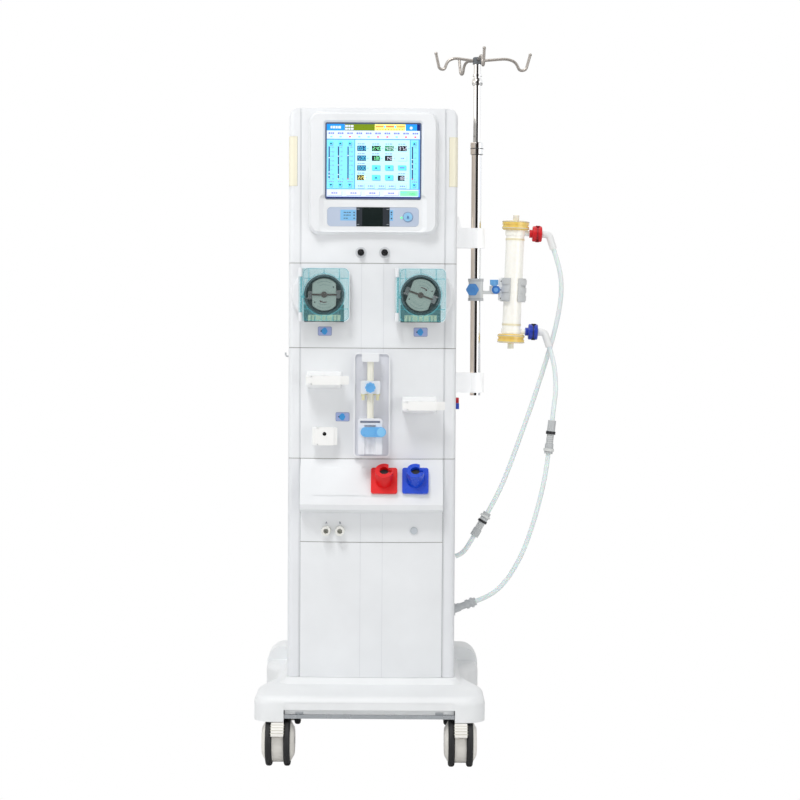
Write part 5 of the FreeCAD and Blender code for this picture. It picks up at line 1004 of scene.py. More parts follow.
def tile_sign(name: str, x: float, z: float, body: str = "root") -> None:
    """Sets a small plain tile with a blue diamond and a dot on the bowed front.

    Args:
        name: The piece's name.
        x: Middle of the tile.
        z: Middle of the tile.
        body: The body that it rides on.
    """
    ground = Finish("tile_lavender", srgb(168, 182, 226), 0.4, clouds=0.05)
    rim = Finish("tile_rim", srgb(118, 130, 176), 0.4)
    mark = Finish("tile_blue", srgb(66, 158, 226), 0.35)
    form = Form(name)
    form.slab(rounded(x - 14.2, x + 14.2, z - 9.2, z + 9.2, 2.6), -0.5, 0.4, rim, hug=True)
    form.slab(rounded(x - 13.4, x + 13.4, z - 8.4, z + 8.4, 2.0), -0.62, 0.4, ground, hug=True)
    diamond = ((-9, 0), (-4.5, -5), (-1, -7.6), (2.5, -6.4), (6, 0), (2.5, 6.4), (-1, 7.6), (-4.5, 5))
    form.slab([(x + u, z + v) for u, v in diamond], -0.74, 0.3, mark, hug=True)
    form.slab(circle(x - 7.6, z, 1.5, 12), -0.86, 0.3, PRINT, hug=True)
    form.make(body)


@dataclass
class BloodPump:
    """One blood pump: its housing, clear door and roller head."""

    hand: str
    side: int
    x: float = 98.5
    z: float = 948.0
    front: float = -133.0
    turn: float = 0.0
    ring: float = 42.6

    @property
    def cx(self) -> float:
        """The pump's middle."""
        return self.side * self.x

    def outline_strip(self, form: Form, points: list[Pair], wide: float, y: float, deep: float) -> None:
        """Adds a thin raised line along a path on the door's face."""
        for start, end in zip(points, points[1:]):
            if math.dist(start, end) > 1e-6:
                form.slab(stroke(start, end, wide), y - deep, y, TEAL_EDGE)

    def door_lines(self) -> None:
        """Adds the door's saturated edges, ribs, ring and latch, which light collects in."""
        form = Form(f"pump_{self.hand}_door_edges")
        face = self.front - 5.4
        left, right = self.cx - 48.5, self.cx + 50.5
        low, high = self.z - 53.5, self.z + 53.5
        outline = rounded(left + 7.0, right - 0.6, low + 0.6, high - 0.6, 9.6)
        self.outline_strip(form, outline + outline[:1], 1.3, face, 0.35)
        ring = circle(self.cx, self.z, self.ring, 48)
        self.outline_strip(form, ring + ring[:1], 1.7, face, 0.5)
        for x in (-31.0, 0.0, 31.0):
            end = math.sqrt(self.ring ** 2 - x ** 2)
            self.outline_strip(form, [(self.cx + x, self.z + end), (self.cx + x, high - 1)], 1.8, face, 0.9)
        for z in (33.0, -29.0):
            end = math.sqrt(self.ring ** 2 - z ** 2)
            for hand, edge in ((-1, left + 8), (1, right - 1)):
                rib = [(self.cx + hand * end, self.z + z), (edge, self.z + z)]
                self.outline_strip(form, rib, 1.5, face, 0.7)
        for dx in (-17.5, -5.0, 5.0, 17.5):
            self.outline_strip(form, [(self.cx + dx, self.z - 43.5), (self.cx + dx, low + 1.2)], 2.0, face, 0.6)
        self.outline_strip(form, [(left + 2, self.z - 35.5), (left + 2, self.z + 35.5)], 3.0, face - 0.4, 0.5)
        form.slab(circle(left + 6.5, self.z - 4.5, 2.8, 20), face - 1.1, face, TEAL_EDGE)
        form.make(f"{self.hand}_pump_cover", "clear_cover")

    def rotor_face(self) -> None:
        """Adds what shows on the roller head: its plate, darker lines that paint the shade of its grooves, hub,
        turning arrow, screws and pins.
        """
        plate = Finish("rotor_satin", srgb(150, 170, 164), 0.4, metal=0.2, clouds=0.05, grain=0.2,
                       grain_scale=500.0)
        groove_shade = Finish("rotor_groove", srgb(112, 134, 130), 0.5)
        arrow = Finish("arrow_maroon", srgb(58, 10, 26), 0.5)
        black = Finish("rotor_black", srgb(26, 30, 32), 0.5)
        form = Form(f"pump_{self.hand}_rotor_face")
        y = self.front + 3.4
        half, reach = 24.0, 32.6
        cut = math.degrees(math.asin(half / reach))
        disc = (circle(0, 0, reach, 20, 90 - cut, 2 * cut) + circle(0, 0, reach, 20, 270 - cut, 2 * cut))
        form.slab([(self.cx + u, self.z + v) for u, v in disc], y - 1.0, y, plate, chamfer=0.6)
        # The grooves are not cut: darker bands laid on the plate are painted shade.
        for radius in (27.2, 20.5):
            for start in (58, 238):
                form.slab(band(self.cx, self.z, radius - 0.45, radius + 0.45, start, start + 64, 20), y - 1.12,
                          y - 0.9, groove_shade)
        form.slab(band(self.cx, self.z, 6.9, 7.8, 0, 359.9, 32), y - 1.3, y - 0.9, plate)
        tip = 90 * self.side - 24
        form.slab(band(self.cx, self.z, 14.6, 16.4, tip, tip + 44, 14), y - 1.25, y - 0.9, arrow)
        spike = [(self.cx + r * math.cos(math.radians(a)), self.z + r * math.sin(math.radians(a)))
                 for r, a in ((13.0, tip), (15.5, tip - 14), (18.0, tip))]
        form.slab(spike, y - 1.25, y - 0.9, arrow)
        for u, v in ((19.0, 15.5), (-19.0, -15.5)):
            form.slab(circle(self.cx + u, self.z + v, 1.5, 14), y - 1.15, y - 0.9, black)
        for hand in (-1, 1):
            x = self.cx + hand * 30.0
            form.slab(rounded(x - 5.6, x + 5.6, self.z + hand * 7.6 - 1.8, self.z + hand * 7.6 + 1.8, 1.4, 4),
                      y - 0.6, y + 2.0, STEEL, chamfer=0.5)
        if self.turn:
            form.turn_about((self.cx, 0, self.z), (0, 1, 0), self.turn)
        form.make(f"{self.hand}_pump_rotor", "rotor_metal")

    def build(self) -> None:
        """Dresses the pump's nodes and adds its details."""
        cx = self.cx
        # Painted shade: the deep cavity round the roller head is coloured near-black with a teal cast.
        cavity_shade = srgb(48, 60, 66)
        dress(f"pump_{self.hand}_housing", Finish(f"pump_{self.hand}_white", srgb(236, 238, 241), 0.36, zones=(
            Zone(cavity_shade, 0.45, low=(cx - 40.9, None, self.z - 60), high=(cx + 40.9, None, self.z - 20)),
            Zone(cavity_shade, 0.45, about=Axis.Y, centre=(cx, self.z), outer=41.2),
            Zone(srgb(96, 100, 106), 0.25, about=Axis.Y, centre=(cx, self.z), inner=37.6, outer=40.9, metal=0.8,
                 high=(None, self.front + 2.5, None)),
            Zone(srgb(206, 214, 176), 0.3, low=(cx - 33.5, self.front - 1, self.z - 54.0),
                 high=(cx + 33.5, None, self.z - 41.0)))))
        dress(f"pump_{self.hand}_cover", Finish(
            f"clear_teal_{self.hand}", TEAL, 0.1, alpha=0.16, coat=0.5, clouds=0.05, grain=0.02, zones=(
                Zone(srgb(190, 226, 226), 0.1, about=Axis.Y, centre=(cx, self.z), outer=36.5, alpha=0.03),
                Zone(srgb(150, 200, 206), 0.1, about=Axis.Y, centre=(cx, self.z), inner=36.5, outer=42.0,
                     alpha=0.1),)))
        depths = (Zone(srgb(48, 54, 58), 0.5, low=(None, self.front + 6.0, None)),
                  Zone(srgb(66, 58, 54), 0.4, high=(None, self.front + 2.2, None)))
        dress(f"pump_{self.hand}_rotor", Finish(f"rotor_{self.hand}_steel", srgb(150, 158, 160), 0.3,
                                                metal=0.9, grain=0.2, zones=depths))
        self.door_lines()
        self.rotor_face()


@dataclass
class ModuleFront:
    """The clamps, the sensor and the syringe pump of the middle front."""

    rod_x: float = -2.8

    def clamps(self) -> None:
        """Dresses the clamp bodies and their doors, and adds the sensor's dark eye."""
        dress("module_panel", BODY)
        dress("pump_panel", BODY)
        body = Finish("clamp_off_white", srgb(252, 253, 253), 0.36)
        door = Finish("clamp_white", srgb(252, 252, 250), 0.34, coat=0.1)
        dress("detector_bases", body)
        for node in ("air_detector_door", "blood_detector_door", "sensor_door"):
            dress(node, door)
        eye = Form("sensor_eye")
        eye.spin([(0, 3.9), (0.5, 3.7), (0.3, 2.4), (0.1, 0.1)], (-96.6, -128.2, 663.5), (0, -1, 0),
                 Finish("sensor_black", srgb(16, 14, 16), 0.2), 28)
        eye.make("optical_door", "clamp_plastic")
        for node, body_name, x, z, front in (("air", "air_door", -98.4, 774.0, -153.0),
                                             ("blood", "blood_door", 97.5, 723.0, -153.0)):
            grip = Form(f"{node}_door_grips")
            for i in range(3):
                u = x + 40.0 + i * 4.0
                grip.slab(rounded(u - 0.7, u + 0.7, z - 6.6, z + 6.6, 0.6, 3), front + 3.7, front + 5.2, door)
            grip.make(body_name, "clamp_plastic")

    def syringe_pump(self) -> None:
        """Dresses the syringe pump and adds the plate's bead, the hooks and a painted shadow in the flange
        slot.
        """
        x = self.rod_x
        plate = Finish("syringe_plate_grey", srgb(222, 224, 231), 0.42, zones=(
            Zone(srgb(238, 240, 242), 0.36, high=(None, -115.2, None), low=(-60.0, None, 811.5)),
            Zone(srgb(240, 238, 224), 0.3, low=(x - 6.9, -144.0, 690.0), high=(x + 6.9, -129.5, 812.5))))
        dress("heparin_plate", plate)
        dress("plunger_carriage", Finish("carriage_white", srgb(240, 241, 242), 0.34, zones=(
            Zone(srgb(224, 219, 180), 0.35, high=(None, None, 746.0)),)))
        dress("syringe_cradle", Finish("cradle_white", srgb(238, 239, 244), 0.3, coat=0.3))
        dress("syringe_lever", LIGHT_BLUE)
        dress("carriage_knob", LIGHT_BLUE)
        bead = Form("syringe_plate_bead")
        outer, inner = rounded(-37.4, 37.4, 615.0, 830.0, 9.0), rounded(-34.6, 34.6, 617.8, 827.2, 6.6)
        for i in range(len(outer)):
            k = (i + 1) % len(outer)
            bead.slab([outer[i], outer[k], inner[k], inner[i]], -116.6, -114.6,
                      Finish("bead_white", srgb(246, 247, 249), 0.34))
        bead.make("root", "syringe_plastic")
        hooks = Form("carriage_hooks")
        brass = Finish("hook_ivory", srgb(228, 222, 178), 0.34, coat=0.2)
        for hand in (-1, 1):
            u = x + hand * 14.7
            hooks.sweep([(u + hand * 3.2, -139, 747), (u + hand * 3.4, -140, 743.5), (u, -141.5, 742),
                         (u - hand * 1.2, -142, 738), (u - hand * 1.4, -142, 734)], 1.5, brass)
        hooks.slab(rounded(x - 17, x + 17, 744.2, 746.8, 1.0, 3), -141.0, -131.0, brass)
        hooks.make("carriage", "syringe_plastic")
        # Painted shadow: a dark bluish slab in the flange slot stands for the shade in it.
        slot = Form("flange_slot_shadow")
        slot.slab(rounded(x - 20.0, x + 20.0, 688.6, 692.0, 1.5, 4), -156.6, -145.4,
                  Finish("flange_slot_shade", srgb(126, 132, 150), 0.6))
        slot.make("root", "syringe_plastic")
        lever = Form("lever_face")
        lever.slab(circle(19.5, 670.0, 8.6, 32), -168.9, -168.2, Finish("lever_pad", srgb(136, 202, 246), 0.3,
                                                                       coat=0.3), chamfer=0.4)
        lever.slab(rounded(-18.5, 8.0, 662.4, 677.6, 7.4), -166.0, -165.2, LIGHT_BLUE, chamfer=0.4)
        lever.make("barrel_lever", "light_blue")

    def build(self) -> None:
        """Builds the middle front."""
        self.clamps()
        self.syringe_pump()
        tile_sign("pump_left_tile", -97.8, 873.5)
        tile_sign("pump_right_tile", 99.0, 872.5)
        tile_sign("sensor_tile", -60.5, 697.5)
        LOG.info("middle front dressed")


@dataclass
class LowerFront:
    """The rinse ports, the ledge, the concentrate nipples and the plain lower panel."""

    tilt: float = 45.0
    foot_out: float = 16.1
    bore_foot: float = 24.0
    bore_depth: float = 14.0
    bore_radius: float = 9.3
    ports: Pair = (26.0, 90.0)

    def port_mark(self, name: str, strokes: tuple[tuple[Pair, Pair], ...], x: float, z: float) -> None:
        """Prints one plain port letter from strokes.

        Args:
            name: The piece's name.
            strokes: Lines between two points each, in a box of 1 by 1.
            x: Left side of the letter.
            z: Foot of the letter.
        """
        form = Form(name)
        size, wide = 4.2, 0.6
        for line in strokes:
            start, end = [(x + u * size * 0.7, z + v * size) for u, v in line]
            form.slab(stroke(start, end, wide), -0.35, 0.2, PRINT, hug=True)
        form.make("root")

    def shade_bores(self) -> None:
        """Paints the shade deep in the two rinse ports: a near-black lining in each bore."""
        dark = Finish("bore_painted_shade", srgb(14, 12, 16), 0.5)
        tilt = math.radians(self.tilt)
        along = Vector((0.0, -math.cos(tilt), math.sin(tilt)))
        profile = [(0, self.bore_radius), (self.bore_depth, self.bore_radius)]
        form = Form("rinse_port_bores")
        # Each bore's near-black lining is painted shade.
        for x in self.ports:
            foot = Vector((x, bow_y(x) - self.foot_out + 8.0, 558.0))
            start = tuple(foot + along * self.bore_foot)
            form.spin(profile, start, tuple(along), dark, 32)
        form.make("root", "rinse_plastic")

    def build(self) -> None:
        """Dresses the lower front."""
        dress("rinse_panel", BODY)
        dress("front_lower_cover", BODY)
        red, blue = srgb(226, 0, 6), srgb(10, 70, 206)
        dress("rinse_ports", Finish("rinse_red_blue", red, 0.42, clouds=0.08, zones=(
            Zone(blue, 0.26, low=(58.0, None, None)),)))
        self.shade_bores()
        letter_a = (((0, 0), (0.5, 1)), ((0.5, 1), (1, 0)), ((0.2, 0.38), (0.8, 0.38)))
        letter_b = (((0, 0), (0, 1)), ((0, 1), (0.7, 0.93)), ((0.7, 0.93), (0.75, 0.6)),
                    ((0.75, 0.6), (0, 0.52)), ((0.75, 0.5), (0.95, 0.3)), ((0.95, 0.3), (0.8, 0.04)),
                    ((0.8, 0.04), (0, 0)))
        self.port_mark("port_mark_a", letter_a, -94.4, 476.5)
        self.port_mark("port_mark_b", letter_b, -65.8, 476.5)
        LOG.info("lower front dressed")


@dataclass
class Shell:
    """The painted sides, the rear cover, the base and what is inside the machine."""

    screw_columns: Pair = (-162.0, 162.0)
    screw_rows: tuple[float, ...] = (190.0, 560.0, 930.0, 1290.0)
    rear: float = 215.0

    def screws(self) -> None:
        """Adds the rear cover's screws, each with a dark cross on its head that paints the shade of its slot.
        """
        head = Finish("screw_steel", srgb(176, 178, 182), 0.3, metal=1.0)
        slot = Finish("screw_slot_shade", srgb(60, 62, 66), 0.5)
        form = Form("rear_cover_screws")
        for x in self.screw_columns:
            for z in self.screw_rows:
                form.spin([(-0.4, 4.2), (0.6, 4.0), (1.3, 3.0), (1.5, 0.1)], (x, self.rear, z), (0, 1, 0),
                          head, 20)
                # The slots are not cut: a dark cross laid on each head is painted shade.
                for wide, tall in ((2.6, 0.35), (0.35, 2.6)):
                    cross = rounded(x - wide, x + wide, z - tall, z + tall, 0.3, 2)
                    form.slab(cross, self.rear + 1.6, self.rear + 1.0, slot)
        form.make("root", "painted_sheet")

    def recess_back(self) -> None:
        """Closes the slot behind the foot rail with its pale inner lip."""
        form = Form("base_recess_back")
        form.slab(rounded(-169.0, 169.0, 109.5, 120.0, 1.0, 3), -243.6, -241.6, BASE)
        form.make("root", "frame_paint")

    def seam_profile(self, inset: float) -> list[Pair]:
        """Returns the plan of the column's front and pillars, set in by inset.

        Args:
            inset: How far inside the outer face.

        Returns:
            Points from the left wall round to the right wall.
        """
        half, front, radius = 173.0 - inset, -95.0 + inset, 11.0 - inset
        left = [(-half, -50.0)] + circle(-half + radius, front + radius, radius, 6, 180, 90)
        left += [(-147.0, front), (-147.0, bow_y(147.0) + inset)]
        bow = [(x, bow_y(x) + inset) for x in range(-140, 141, 20)]
        return left + bow + [(-x, y) for x, y in reversed(left)]

    def seam_fills(self) -> None:
        """Fills the seams between the front panels: grey strips just behind the face paint the seams' shade,
        lighter than the open gaps, and pale strips keep the upright seams faint.
        """
        # Grey strips stand in for the seams' shade; pale strips hide most of it.
        seam_grey = Finish("seam_shade_grey", srgb(160, 160, 156), 0.6)
        pale = Finish("seam_fill_white", srgb(226, 228, 231), 0.5)
        form = Form("seam_shade_strips")
        outline = self.seam_profile(0.9)
        inner = self.seam_profile(3.0)
        for z in SEAM_LEVELS:
            for i in range(len(outline) - 1):
                form.slab([outline[i], outline[i + 1], inner[i + 1], inner[i]], z - 0.7, z + 0.7, seam_grey,
                          axis=Axis.Z)
        for i in range(7, len(outline) - 8):
            form.slab([outline[i], outline[i + 1], inner[i + 1], inner[i]], *LEDGE_SEAM, seam_grey, axis=Axis.Z)
        for side in (-1, 1):
            for low, high in ((1014.0, 1322.0), (840.0, 1012.0), (612.0, 838.0), (158.5, 610.0)):
                x0, x1 = sorted((side * 147.3, side * 149.7))
                form.slab([(x0, low), (x1, low), (x1, high), (x0, high)], -94.6, -92.4, pale)
            for low, high in ((840.0, 1012.0), (612.0, 838.0), (439.5, 498.0), (158.5, 437.5)):
                x0, x1 = sorted((side * 22.15, side * 23.25))
                y = bow_y(22.7)
                form.slab([(x0, low), (x1, low), (x1, high), (x0, high)], y + 0.25, y + 1.1, pale)
        form.make("root", "moulded_shell")

    def build(self) -> None:
        """Dresses the shell's nodes."""
        dress("side_panels", SHEET)
        dress("rear_cover", SHEET)
        dress("base_cover", BASE)
        dress("chassis_frame", FRAME_PAINT)
        dress("internal_units", Finish("inner_cases", srgb(92, 96, 102), 0.5, grain=0.3, zones=(
            Zone(srgb(178, 182, 186), 0.32, low=(None, None, 850.0), metal=1.0),)))
        self.screws()
        self.recess_back()
        self.seam_fills()
        LOG.info("shell dressed")


@dataclass
class PoleAndHolder:
    """The pole with its hooks, and the holder that slides on it."""

    x: float = 217.0
    y: float = 35.0
    swivel: float = 256.0
    case_x: float = 296.0
    level: float = 962.0
    wheel: float = 7.7
    ridges: int = 18

    def collar_lines(self) -> None:
        """Adds the dark rings of the telescopic pole's collar and of its brackets."""
        dark = Finish("collar_dark", srgb(38, 40, 44), 0.4)
        form = Form("pole_collar_rings")
        for z, radius in ((1246.2, 11.0), (1259.0, 13.5)):
            form.spin([(0, radius - 1), (0, radius + 0.3), (1.6, radius + 0.3), (1.6, radius - 1)],
                      (self.x, self.y, z), (0, 0, 1), dark, 36)
        form.make("root", "pole_steel")

    def wheel_spokes(self) -> None:
        """Adds grip ridges round the blue wheel under the swivel, and dark discs on the jaw's white strip that
        paint the shade of its holes.
        """
        blue = Finish("wheel_blue", srgb(58, 118, 196), 0.3, coat=0.2)
        form = Form("swivel_wheel_grip")
        for i in range(self.ridges):
            turn = math.radians(360 // self.ridges * i)
            foot = (self.swivel + 3 + self.wheel * math.cos(turn), 15, self.level + self.wheel * math.sin(turn))
            form.spin([(0.4, 1.1), (8.6, 1.1)], foot, (0, 1, 0), blue, 8)
        form.slab(circle(self.swivel + 3, self.level, 4.6, 24), 14.8, 16.0,
                  Finish("wheel_cap", srgb(112, 168, 226), 0.3, coat=0.2), chamfer=0.3)
        form.make("dialyser_group", "holder_plastic")
        # The jaw's holes are not cut: dark discs on the strip are painted shade.
        holes = Form("jaw_pad_holes")
        dark = Finish("jaw_hole_shade", srgb(44, 46, 50), 0.6)
        for z in (944.0, 962.0, 980.0):
            x = 270.4 + (z - self.level) * 0.0349
            holes.slab(circle(x, z, 2.0, 16), 22.75, 23.4, dark)
        holes.make("dialyser_group", "holder_plastic")

    def build(self) -> None:
        """Dresses the pole's and the holder's nodes and adds their details."""
        # The white brackets glow a little: painted light that lifts them to white where the column shades them.
        dress("pole_brackets", Finish("bracket_white_glow", srgb(252, 253, 254), 0.36, glow=0.22))
        dress("pole_tube", CHROME)
        dress("pole_rod", UPPER_CHROME)
        dress("pole_hooks", Finish("hook_wire", srgb(168, 162, 156), 0.34, metal=1.0, grain=0.0, zones=(
            Zone(srgb(90, 94, 98), 0.4, about=Axis.Z, centre=(self.x, self.y), outer=10.2,
                 high=(None, None, 1453.0)),)))
        dress("holder_clamp", Finish("clamp_block", srgb(222, 224, 222), 0.4, zones=(
            Zone(srgb(196, 199, 200), 0.42, low=(None, None, 979.3)),
            Zone(srgb(196, 199, 200), 0.42, high=(None, None, 944.7)),)))
        dress("clamp_knob", Finish("knob_blue", srgb(84, 146, 212), 0.28, coat=0.3, clouds=0.08))
        dress("bracket_knob", Finish("wing_blue", srgb(112, 178, 232), 0.3, coat=0.2))
        grey = srgb(206, 209, 210)
        dress("holder_bracket", Finish("jaw_grey", grey, 0.4, zones=(
            Zone(srgb(58, 118, 196), 0.3, high=(268.5, 24.4, None)),
            Zone(srgb(236, 238, 238), 0.36, low=(262.0, 22.0, 930.0), high=(276.4, 50.0, 995.0)))))
        dress("holder_jaw", Finish("jaw_grey_right", srgb(214, 216, 216), 0.4, zones=(
            Zone(srgb(96, 84, 74), 0.5, about=Axis.Z, centre=(self.case_x, self.y), outer=20.6),)))
        self.collar_lines()
        self.wheel_spokes()
        LOG.info("pole and holder dressed")


@dataclass
class Dialyser:
    """The dialyser, its caps, its couplings and the connectors in the hoses."""

    x: float = 296.0
    y: float = 35.0
    level: float = 962.0
    lean: float = 2.0

    def leaned(self, form: Form) -> Form:
        """Leans a form with the dialyser."""
        form.turn_about((self.x, self.y, self.level), (0, 1, 0), self.lean)
        return form

    def rims(self) -> None:
        """Adds the clear rims of the caps and the potting rings that show through the case."""
        clear = Finish("rim_clear", srgb(236, 232, 214), 0.12, coat=0.6, alpha=0.75)
        potting = Finish("potting", srgb(246, 236, 200), 0.3, coat=0.4)
        form = Form("dialyser_rims")
        for base, way in ((1088.5, 1), (869.0, -1)):
            for place in (2.6, 16.4):
                form.spin([(0, 27.0), (0.3, 29.0), (1.3, 29.3), (2.3, 29.0), (2.6, 27.0)],
                          (self.x, self.y, base + way * place), (0, 0, way), clear, 48)
            form.spin([(0.5, 18.0), (0.5, 20.4), (4.5, 20.4), (4.5, 18.0)],
                      (self.x, self.y, base - way * 22.0), (0, 0, way), potting, 40)
        self.leaned(form).make("dialyser_group", "case_clear")

    def latches(self) -> None:
        """Adds the snap couplings' rings and release keys."""
        dark = Finish("latch_dark", srgb(34, 36, 44), 0.35)
        deep_red = Finish("latch_red", srgb(150, 16, 34), 0.3)
        form = Form("coupling_latches")
        for z, finish in ((1082.5, deep_red), (875.0, dark)):
            form.slab(rounded(338.0, 348.0, z + 13.5, z + 17.4, 1.2, 3), 29.0, 41.0, finish)
            form.slab(rounded(339.0, 347.0, z - 17.4, z - 13.5, 1.2, 3), 29.0, 41.0, finish)
            form.spin([(0, 13.0), (0, 14.8), (1.6, 14.8), (1.6, 13.0)], (341.6, self.y, z), (1, 0, 0),
                      finish, 32)
        self.leaned(form).make("dialyser_group", "coupling_plastic")

    def connector_rings(self, name: str, start: Triple, end: Triple, clip: Pair, body: str) -> None:
        """Adds the black ring and the clip of an in-line connector.

        Args:
            name: The piece's name.
            start: The connector's upper end.
            end: Its lower end.
            clip: Where its clip starts and ends, as shares of its length.
            body: The body that it rides on.
        """
        black = Finish("ring_black", srgb(30, 31, 34), 0.4)
        pale = Finish("clip_pale", srgb(222, 224, 222), 0.35)
        way = Vector(end) - Vector(start)
        length = way.length
        form = Form(name)
        a, b = 0.325 * length, 0.415 * length
        form.spin([(a, 9), (a, 10.15), (b, 10.15), (b, 9)], start, tuple(way), black, 32)
        a, b = clip[0] * length, clip[1] * length
        form.spin([(a, 10), (a, 11.2), (b, 11.2), (b, 10)], start, tuple(way), pale, 32)
        for share in (0.47, 0.53, 0.59, 0.65):
            a = share * length
            form.spin([(a, 7), (a, 7.9), (a + 1.2, 7.9), (a + 1.2, 7)], start, tuple(way), pale, 28)
        form.make(body, "connector_plastic")

    def build(self) -> None:
        """Dresses the dialyser's nodes and adds its details."""
        # The fibre bundle glows faintly: painted light, as it is no lamp.
        dress("dialyser_case", Finish(
            "fibre_bundle", srgb(253, 251, 243), 0.22, coat=0.5, glow=0.12, clouds=0.05, cloud_scale=160.0,
            grain=0.25, grain_scale=700.0, stretch=(1.0, 1.0, 0.02),
            zones=(Zone(srgb(228, 234, 232), 0.15, low=(320.0, None, None)),)))
        nipple = srgb(238, 238, 228)
        # The amber caps glow faintly: painted light, as they are no lamp.
        dress("dialyser_caps", Finish(
            "cap_amber", srgb(255, 218, 110), 0.2, coat=0.5, soft=0.15, alpha=0.86, glow=0.08, clouds=0.08,
            cloud_scale=60.0, zones=(Zone(nipple, 0.18, low=(None, None, 1108.6)),
                                     Zone(nipple, 0.18, high=(None, None, 848.9)))))
        dress("hose_couplings", Finish("coupling_red", srgb(212, 4, 20), 0.4, clouds=0.06, zones=(
            Zone(srgb(22, 56, 176), 0.28, high=(None, None, 980.0)),
            Zone(srgb(240, 241, 240), 0.3, low=(356.4, None, 980.0)),
            Zone(srgb(240, 241, 240), 0.3, low=(349.2, None, None), high=(None, None, 980.0)))))
        grey = Finish("connector_grey", srgb(196, 199, 200), 0.36, clouds=0.06)
        dress("red_connector", grey)
        dress("blue_connector", grey)
        dress("wall_fittings", Finish("fitting_grey", srgb(200, 203, 205), 0.38, zones=(
            Zone(srgb(206, 26, 52), 0.28, low=(170.0, 13.0, 700.0), high=(None, None, 750.0)),
            Zone(srgb(38, 74, 190), 0.28, low=(170.0, None, 700.0), high=(None, 13.0, 750.0)),
            Zone(BLACK, 0.4, low=(60.0, 190.0, None), high=(None, None, 290.0)),)))
        self.rims()
        self.latches()
        self.connector_rings("red_connector_rings", (246, 41, 487), (217, 38, 437), (0.12, 0.2), "root")
        self.connector_rings("blue_connector_rings", (381, 24, 686), (373, 21, 615), (0.84, 0.92), "pole_clamp")
        LOG.info("dialyser dressed")


@dataclass
class Casters:
    """The four double casters and the two brake pedals."""

    stem: Pair = (183.0, 200.0)
    trail: float = 17.0
    hub: float = 41.0
    pedal: float = 57.2

    def tread(self, name: str, x: float, y: float, body: str) -> None:
        """Adds the ridges of a caster's two hub faces.

        Args:
            name: The piece's name.
            x: The caster's middle.
            y: The axle's place.
            body: The body that it rides on.
        """
        rim = Finish("hub_rim", srgb(196, 194, 186), 0.4)
        bolt = Finish("axle_cap", srgb(168, 170, 172), 0.35, metal=0.8)
        form = Form(name)
        for hand in (-1, 1):
            face = x + hand * 25.0
            form.spin([(0, 38.0), (0, 40.6), (0.7, 40.3), (1.1, 38.6)], (face - hand * 0.2, y, AXLE_HEIGHT),
                      (hand, 0, 0), rim, 48)
            form.spin([(0, 8.0), (0.6, 7.6), (0.8, 5.0), (0.2, 4.6), (0.2, 0.1)],
                      (x + hand * 32.4, y, AXLE_HEIGHT), (hand, 0, 0), bolt, 28)
        form.make(body, "caster_wheel")

    def pedal_ribs(self, name: str, x: float, y: float, body: str) -> None:
        """Adds the grip ribs of a brake pedal.

        Args:
            name: The piece's name.
            x: The caster's middle.
            y: The axle's place.
            body: The body that it rides on.
        """
        rib = Finish("pedal_rib", srgb(206, 203, 190), 0.45)
        form = Form(name)
        for turn in (26, 32, 38, 44):
            angle = math.radians(turn)
            place = (x - 14.0, y - self.pedal * math.cos(angle),
                     AXLE_HEIGHT + self.pedal * math.sin(angle))
            form.spin([(0, 0.8), (28.0, 0.8)], place, (1, 0, 0), rib, 10)
        form.make(body, "caster_plastic")

    def build(self) -> None:
        """Dresses the casters and adds their details."""
        cream = srgb(240, 237, 230)
        yoke = Finish("yoke_cream", cream, 0.42, zones=(
            Zone(srgb(170, 172, 176), 0.3, low=(None, None, 103.0), metal=1.0),))
        for row, end in (("front", -1), ("rear", 1)):
            axle = end * self.stem[1] - self.trail
            wheels = Finish(f"wheels_{row}", cream, 0.4, zones=(
                Zone(TYRE_TONE, 0.62, about=Axis.X, centre=(axle, AXLE_HEIGHT), inner=self.hub + 0.01),))
            for hand, side in (("left", -1), ("right", 1)):
                x = side * self.stem[0]
                dress(f"caster_{row}_{hand}_yoke", yoke)
                dress(f"caster_{row}_{hand}_wheels", wheels)
                self.tread(f"caster_{row}_{hand}_hub_faces", x, axle, f"{row}_{hand}_wheels")
                if row == "front":
                    dress(f"brake_pedal_{hand}", Finish("pedal_cream", srgb(244, 242, 236), 0.4))
                    self.pedal_ribs(f"brake_pedal_{hand}_ribs", x, axle, f"{hand}_brake")
        LOG.info("casters dressed")


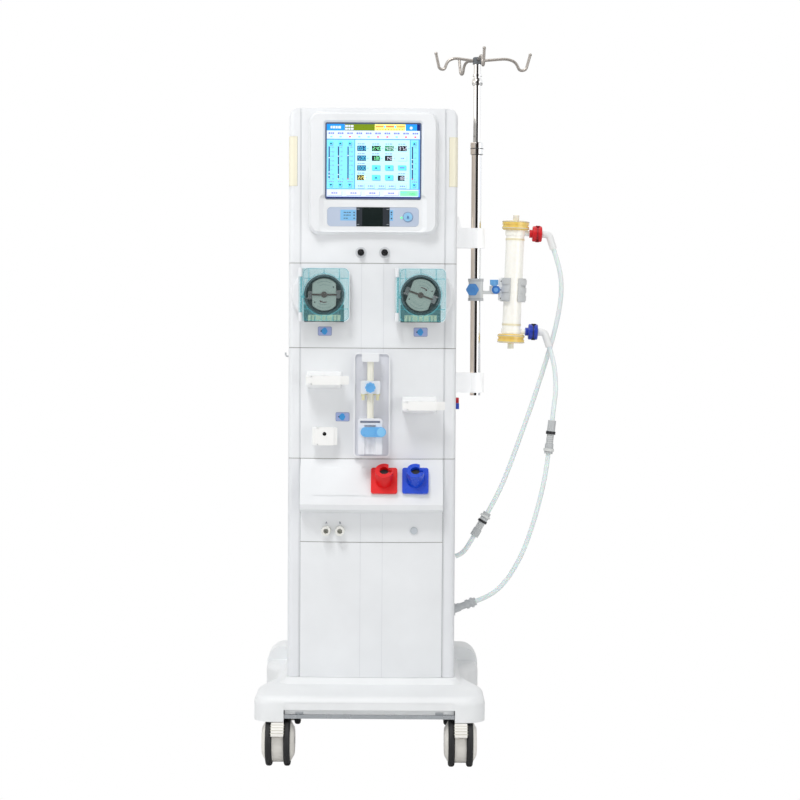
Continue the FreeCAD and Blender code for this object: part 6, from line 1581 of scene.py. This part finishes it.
@dataclass
class Hoses:
    """The five stretches of hose and their routes."""

    radius: float = 5.0
    red_upper: tuple[Triple, ...] = (
        (381.2, 35, 1049.3), (390.8, 35, 1021.2), (399.5, 38, 983), (398.5, 46, 935), (386, 55, 869),
        (365, 60, 797), (340, 60, 718), (313, 56, 642), (287, 49, 570), (264, 42.9, 518.1), (246, 41, 487))
    red_lower: tuple[Triple, ...] = (
        (217, 38, 437), (207, 37, 419.7), (197.5, 36.3, 405.5), (188, 35.5, 397.2), (178, 35, 393.9))
    blue_upper: tuple[Triple, ...] = (
        (374, 35, 841.9), (381.9, 35, 818.5), (387.4, 33, 786), (389, 29, 752), (384.6, 25.3, 717.8),
        (381, 24, 686))
    blue_lower: tuple[Triple, ...] = (
        (373, 21, 615), (369, 19.5, 579.3), (359, 17, 530), (341, 15, 462), (317, 17, 395), (286, 22, 342),
        (253.5, 28.1, 310.3), (222, 32, 298))
    # The clear hose glows faintly: painted light, as it is no lamp.
    finish: Finish = Finish("clear_hose", srgb(228, 238, 238), 0.25, soft=0.25, coat=0.3, clouds=0.02,
                            cloud_scale=20.0, glow=0.06)

    def split(self, route: tuple[Triple, ...], after: int) -> tuple[tuple[Triple, ...], tuple[Triple, ...]]:
        """Splits a route half way between two of its points, where the smooth line touches it.

        Args:
            route: The route's points.
            after: Index of the point before the split.

        Returns:
            The upper and the lower route.
        """
        middle = tuple((a + b) / 2 for a, b in zip(route[after], route[after + 1]))
        return route[:after + 1] + (middle,), (middle,) + route[after + 1:]

    def drawn(self, name: str, route: tuple[Triple, ...], radius: float) -> bpy.types.Mesh:
        """Draws a smooth line or tube along a route.

        Args:
            name: Name of the mesh.
            route: The route's points.
            radius: The tube's radius, or 0 for the bare line.

        Returns:
            The mesh.
        """
        data = bpy.data.curves.new(name, "CURVE")
        data.dimensions = "3D"
        data.bevel_depth = radius * MM
        data.bevel_resolution = 5
        data.resolution_u = 10
        data.use_fill_caps = radius > 0
        spline = data.splines.new("NURBS")
        spline.points.add(len(route) - 1)
        for point, place in zip(spline.points, route):
            point.co = (*(c * MM for c in place), 1.0)
        spline.order_u = 3
        spline.use_endpoint_u = True
        curve = bpy.data.objects.new(name, data)
        mesh = bpy.data.meshes.new_from_object(curve)
        bpy.data.objects.remove(curve)
        bpy.data.curves.remove(data)
        return mesh

    def hose(self, name: str, node: str, route: tuple[Triple, ...], bodies: tuple[str, ...]
             ) -> bpy.types.Object:
        """Makes one stretch of hose as a smooth round tube.

        Args:
            name: The piece's name.
            node: The node that it stands for.
            route: The route's points.
            bodies: The body that it rides on, or two bodies, for which it is only fixed in place and follows
                neither.

        Returns:
            The hose.
        """
        path = [vertex.co.copy() for vertex in self.drawn(f"{name}_path", route, 0.0).vertices]
        mesh = self.drawn(name, route, self.radius)
        for polygon in mesh.polygons:
            polygon.use_smooth = True
        mesh.materials.clear()
        mesh.materials.append(self.finish.material())
        hose = bpy.data.objects.new(name, mesh)
        bpy.context.scene.collection.objects.link(hose)
        if len(bodies) == 2:
            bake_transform(hose)
        else:
            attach(hose, bodies[0])
        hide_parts(node)
        return hose

    def build(self) -> None:
        """Hangs the hoses."""
        upper, lower = self.split(self.red_upper, 3)
        self.hose("red_hose_top_line", "red_hose_upper", upper, ("dialyser_group", "pole_clamp"))
        self.hose("red_hose_middle_line", "red_hose_upper", lower, ("pole_clamp", "root"))
        self.hose("blue_hose_upper_line", "blue_hose_upper", self.blue_upper, ("dialyser_group", "pole_clamp"))
        self.hose("blue_hose_lower_line", "blue_hose_lower", self.blue_lower, ("pole_clamp", "root"))
        self.hose("red_hose_lower_line", "red_hose_lower", self.red_lower, ("root",))
        LOG.info("hoses hung")


def main() -> None:
    """Builds the studio and every sub-assembly in order."""
    logging.basicConfig(level=logging.INFO, format="%(message)s")
    Studio().build()
    Shell().build()
    Monitor().build()
    BloodPump("left", -1).build()
    BloodPump("right", 1, turn=20.0).build()
    ModuleFront().build()
    LowerFront().build()
    PoleAndHolder().build()
    Dialyser().build()
    Casters().build()
    Hoses().build()


if __name__ == "__main__":
    main()
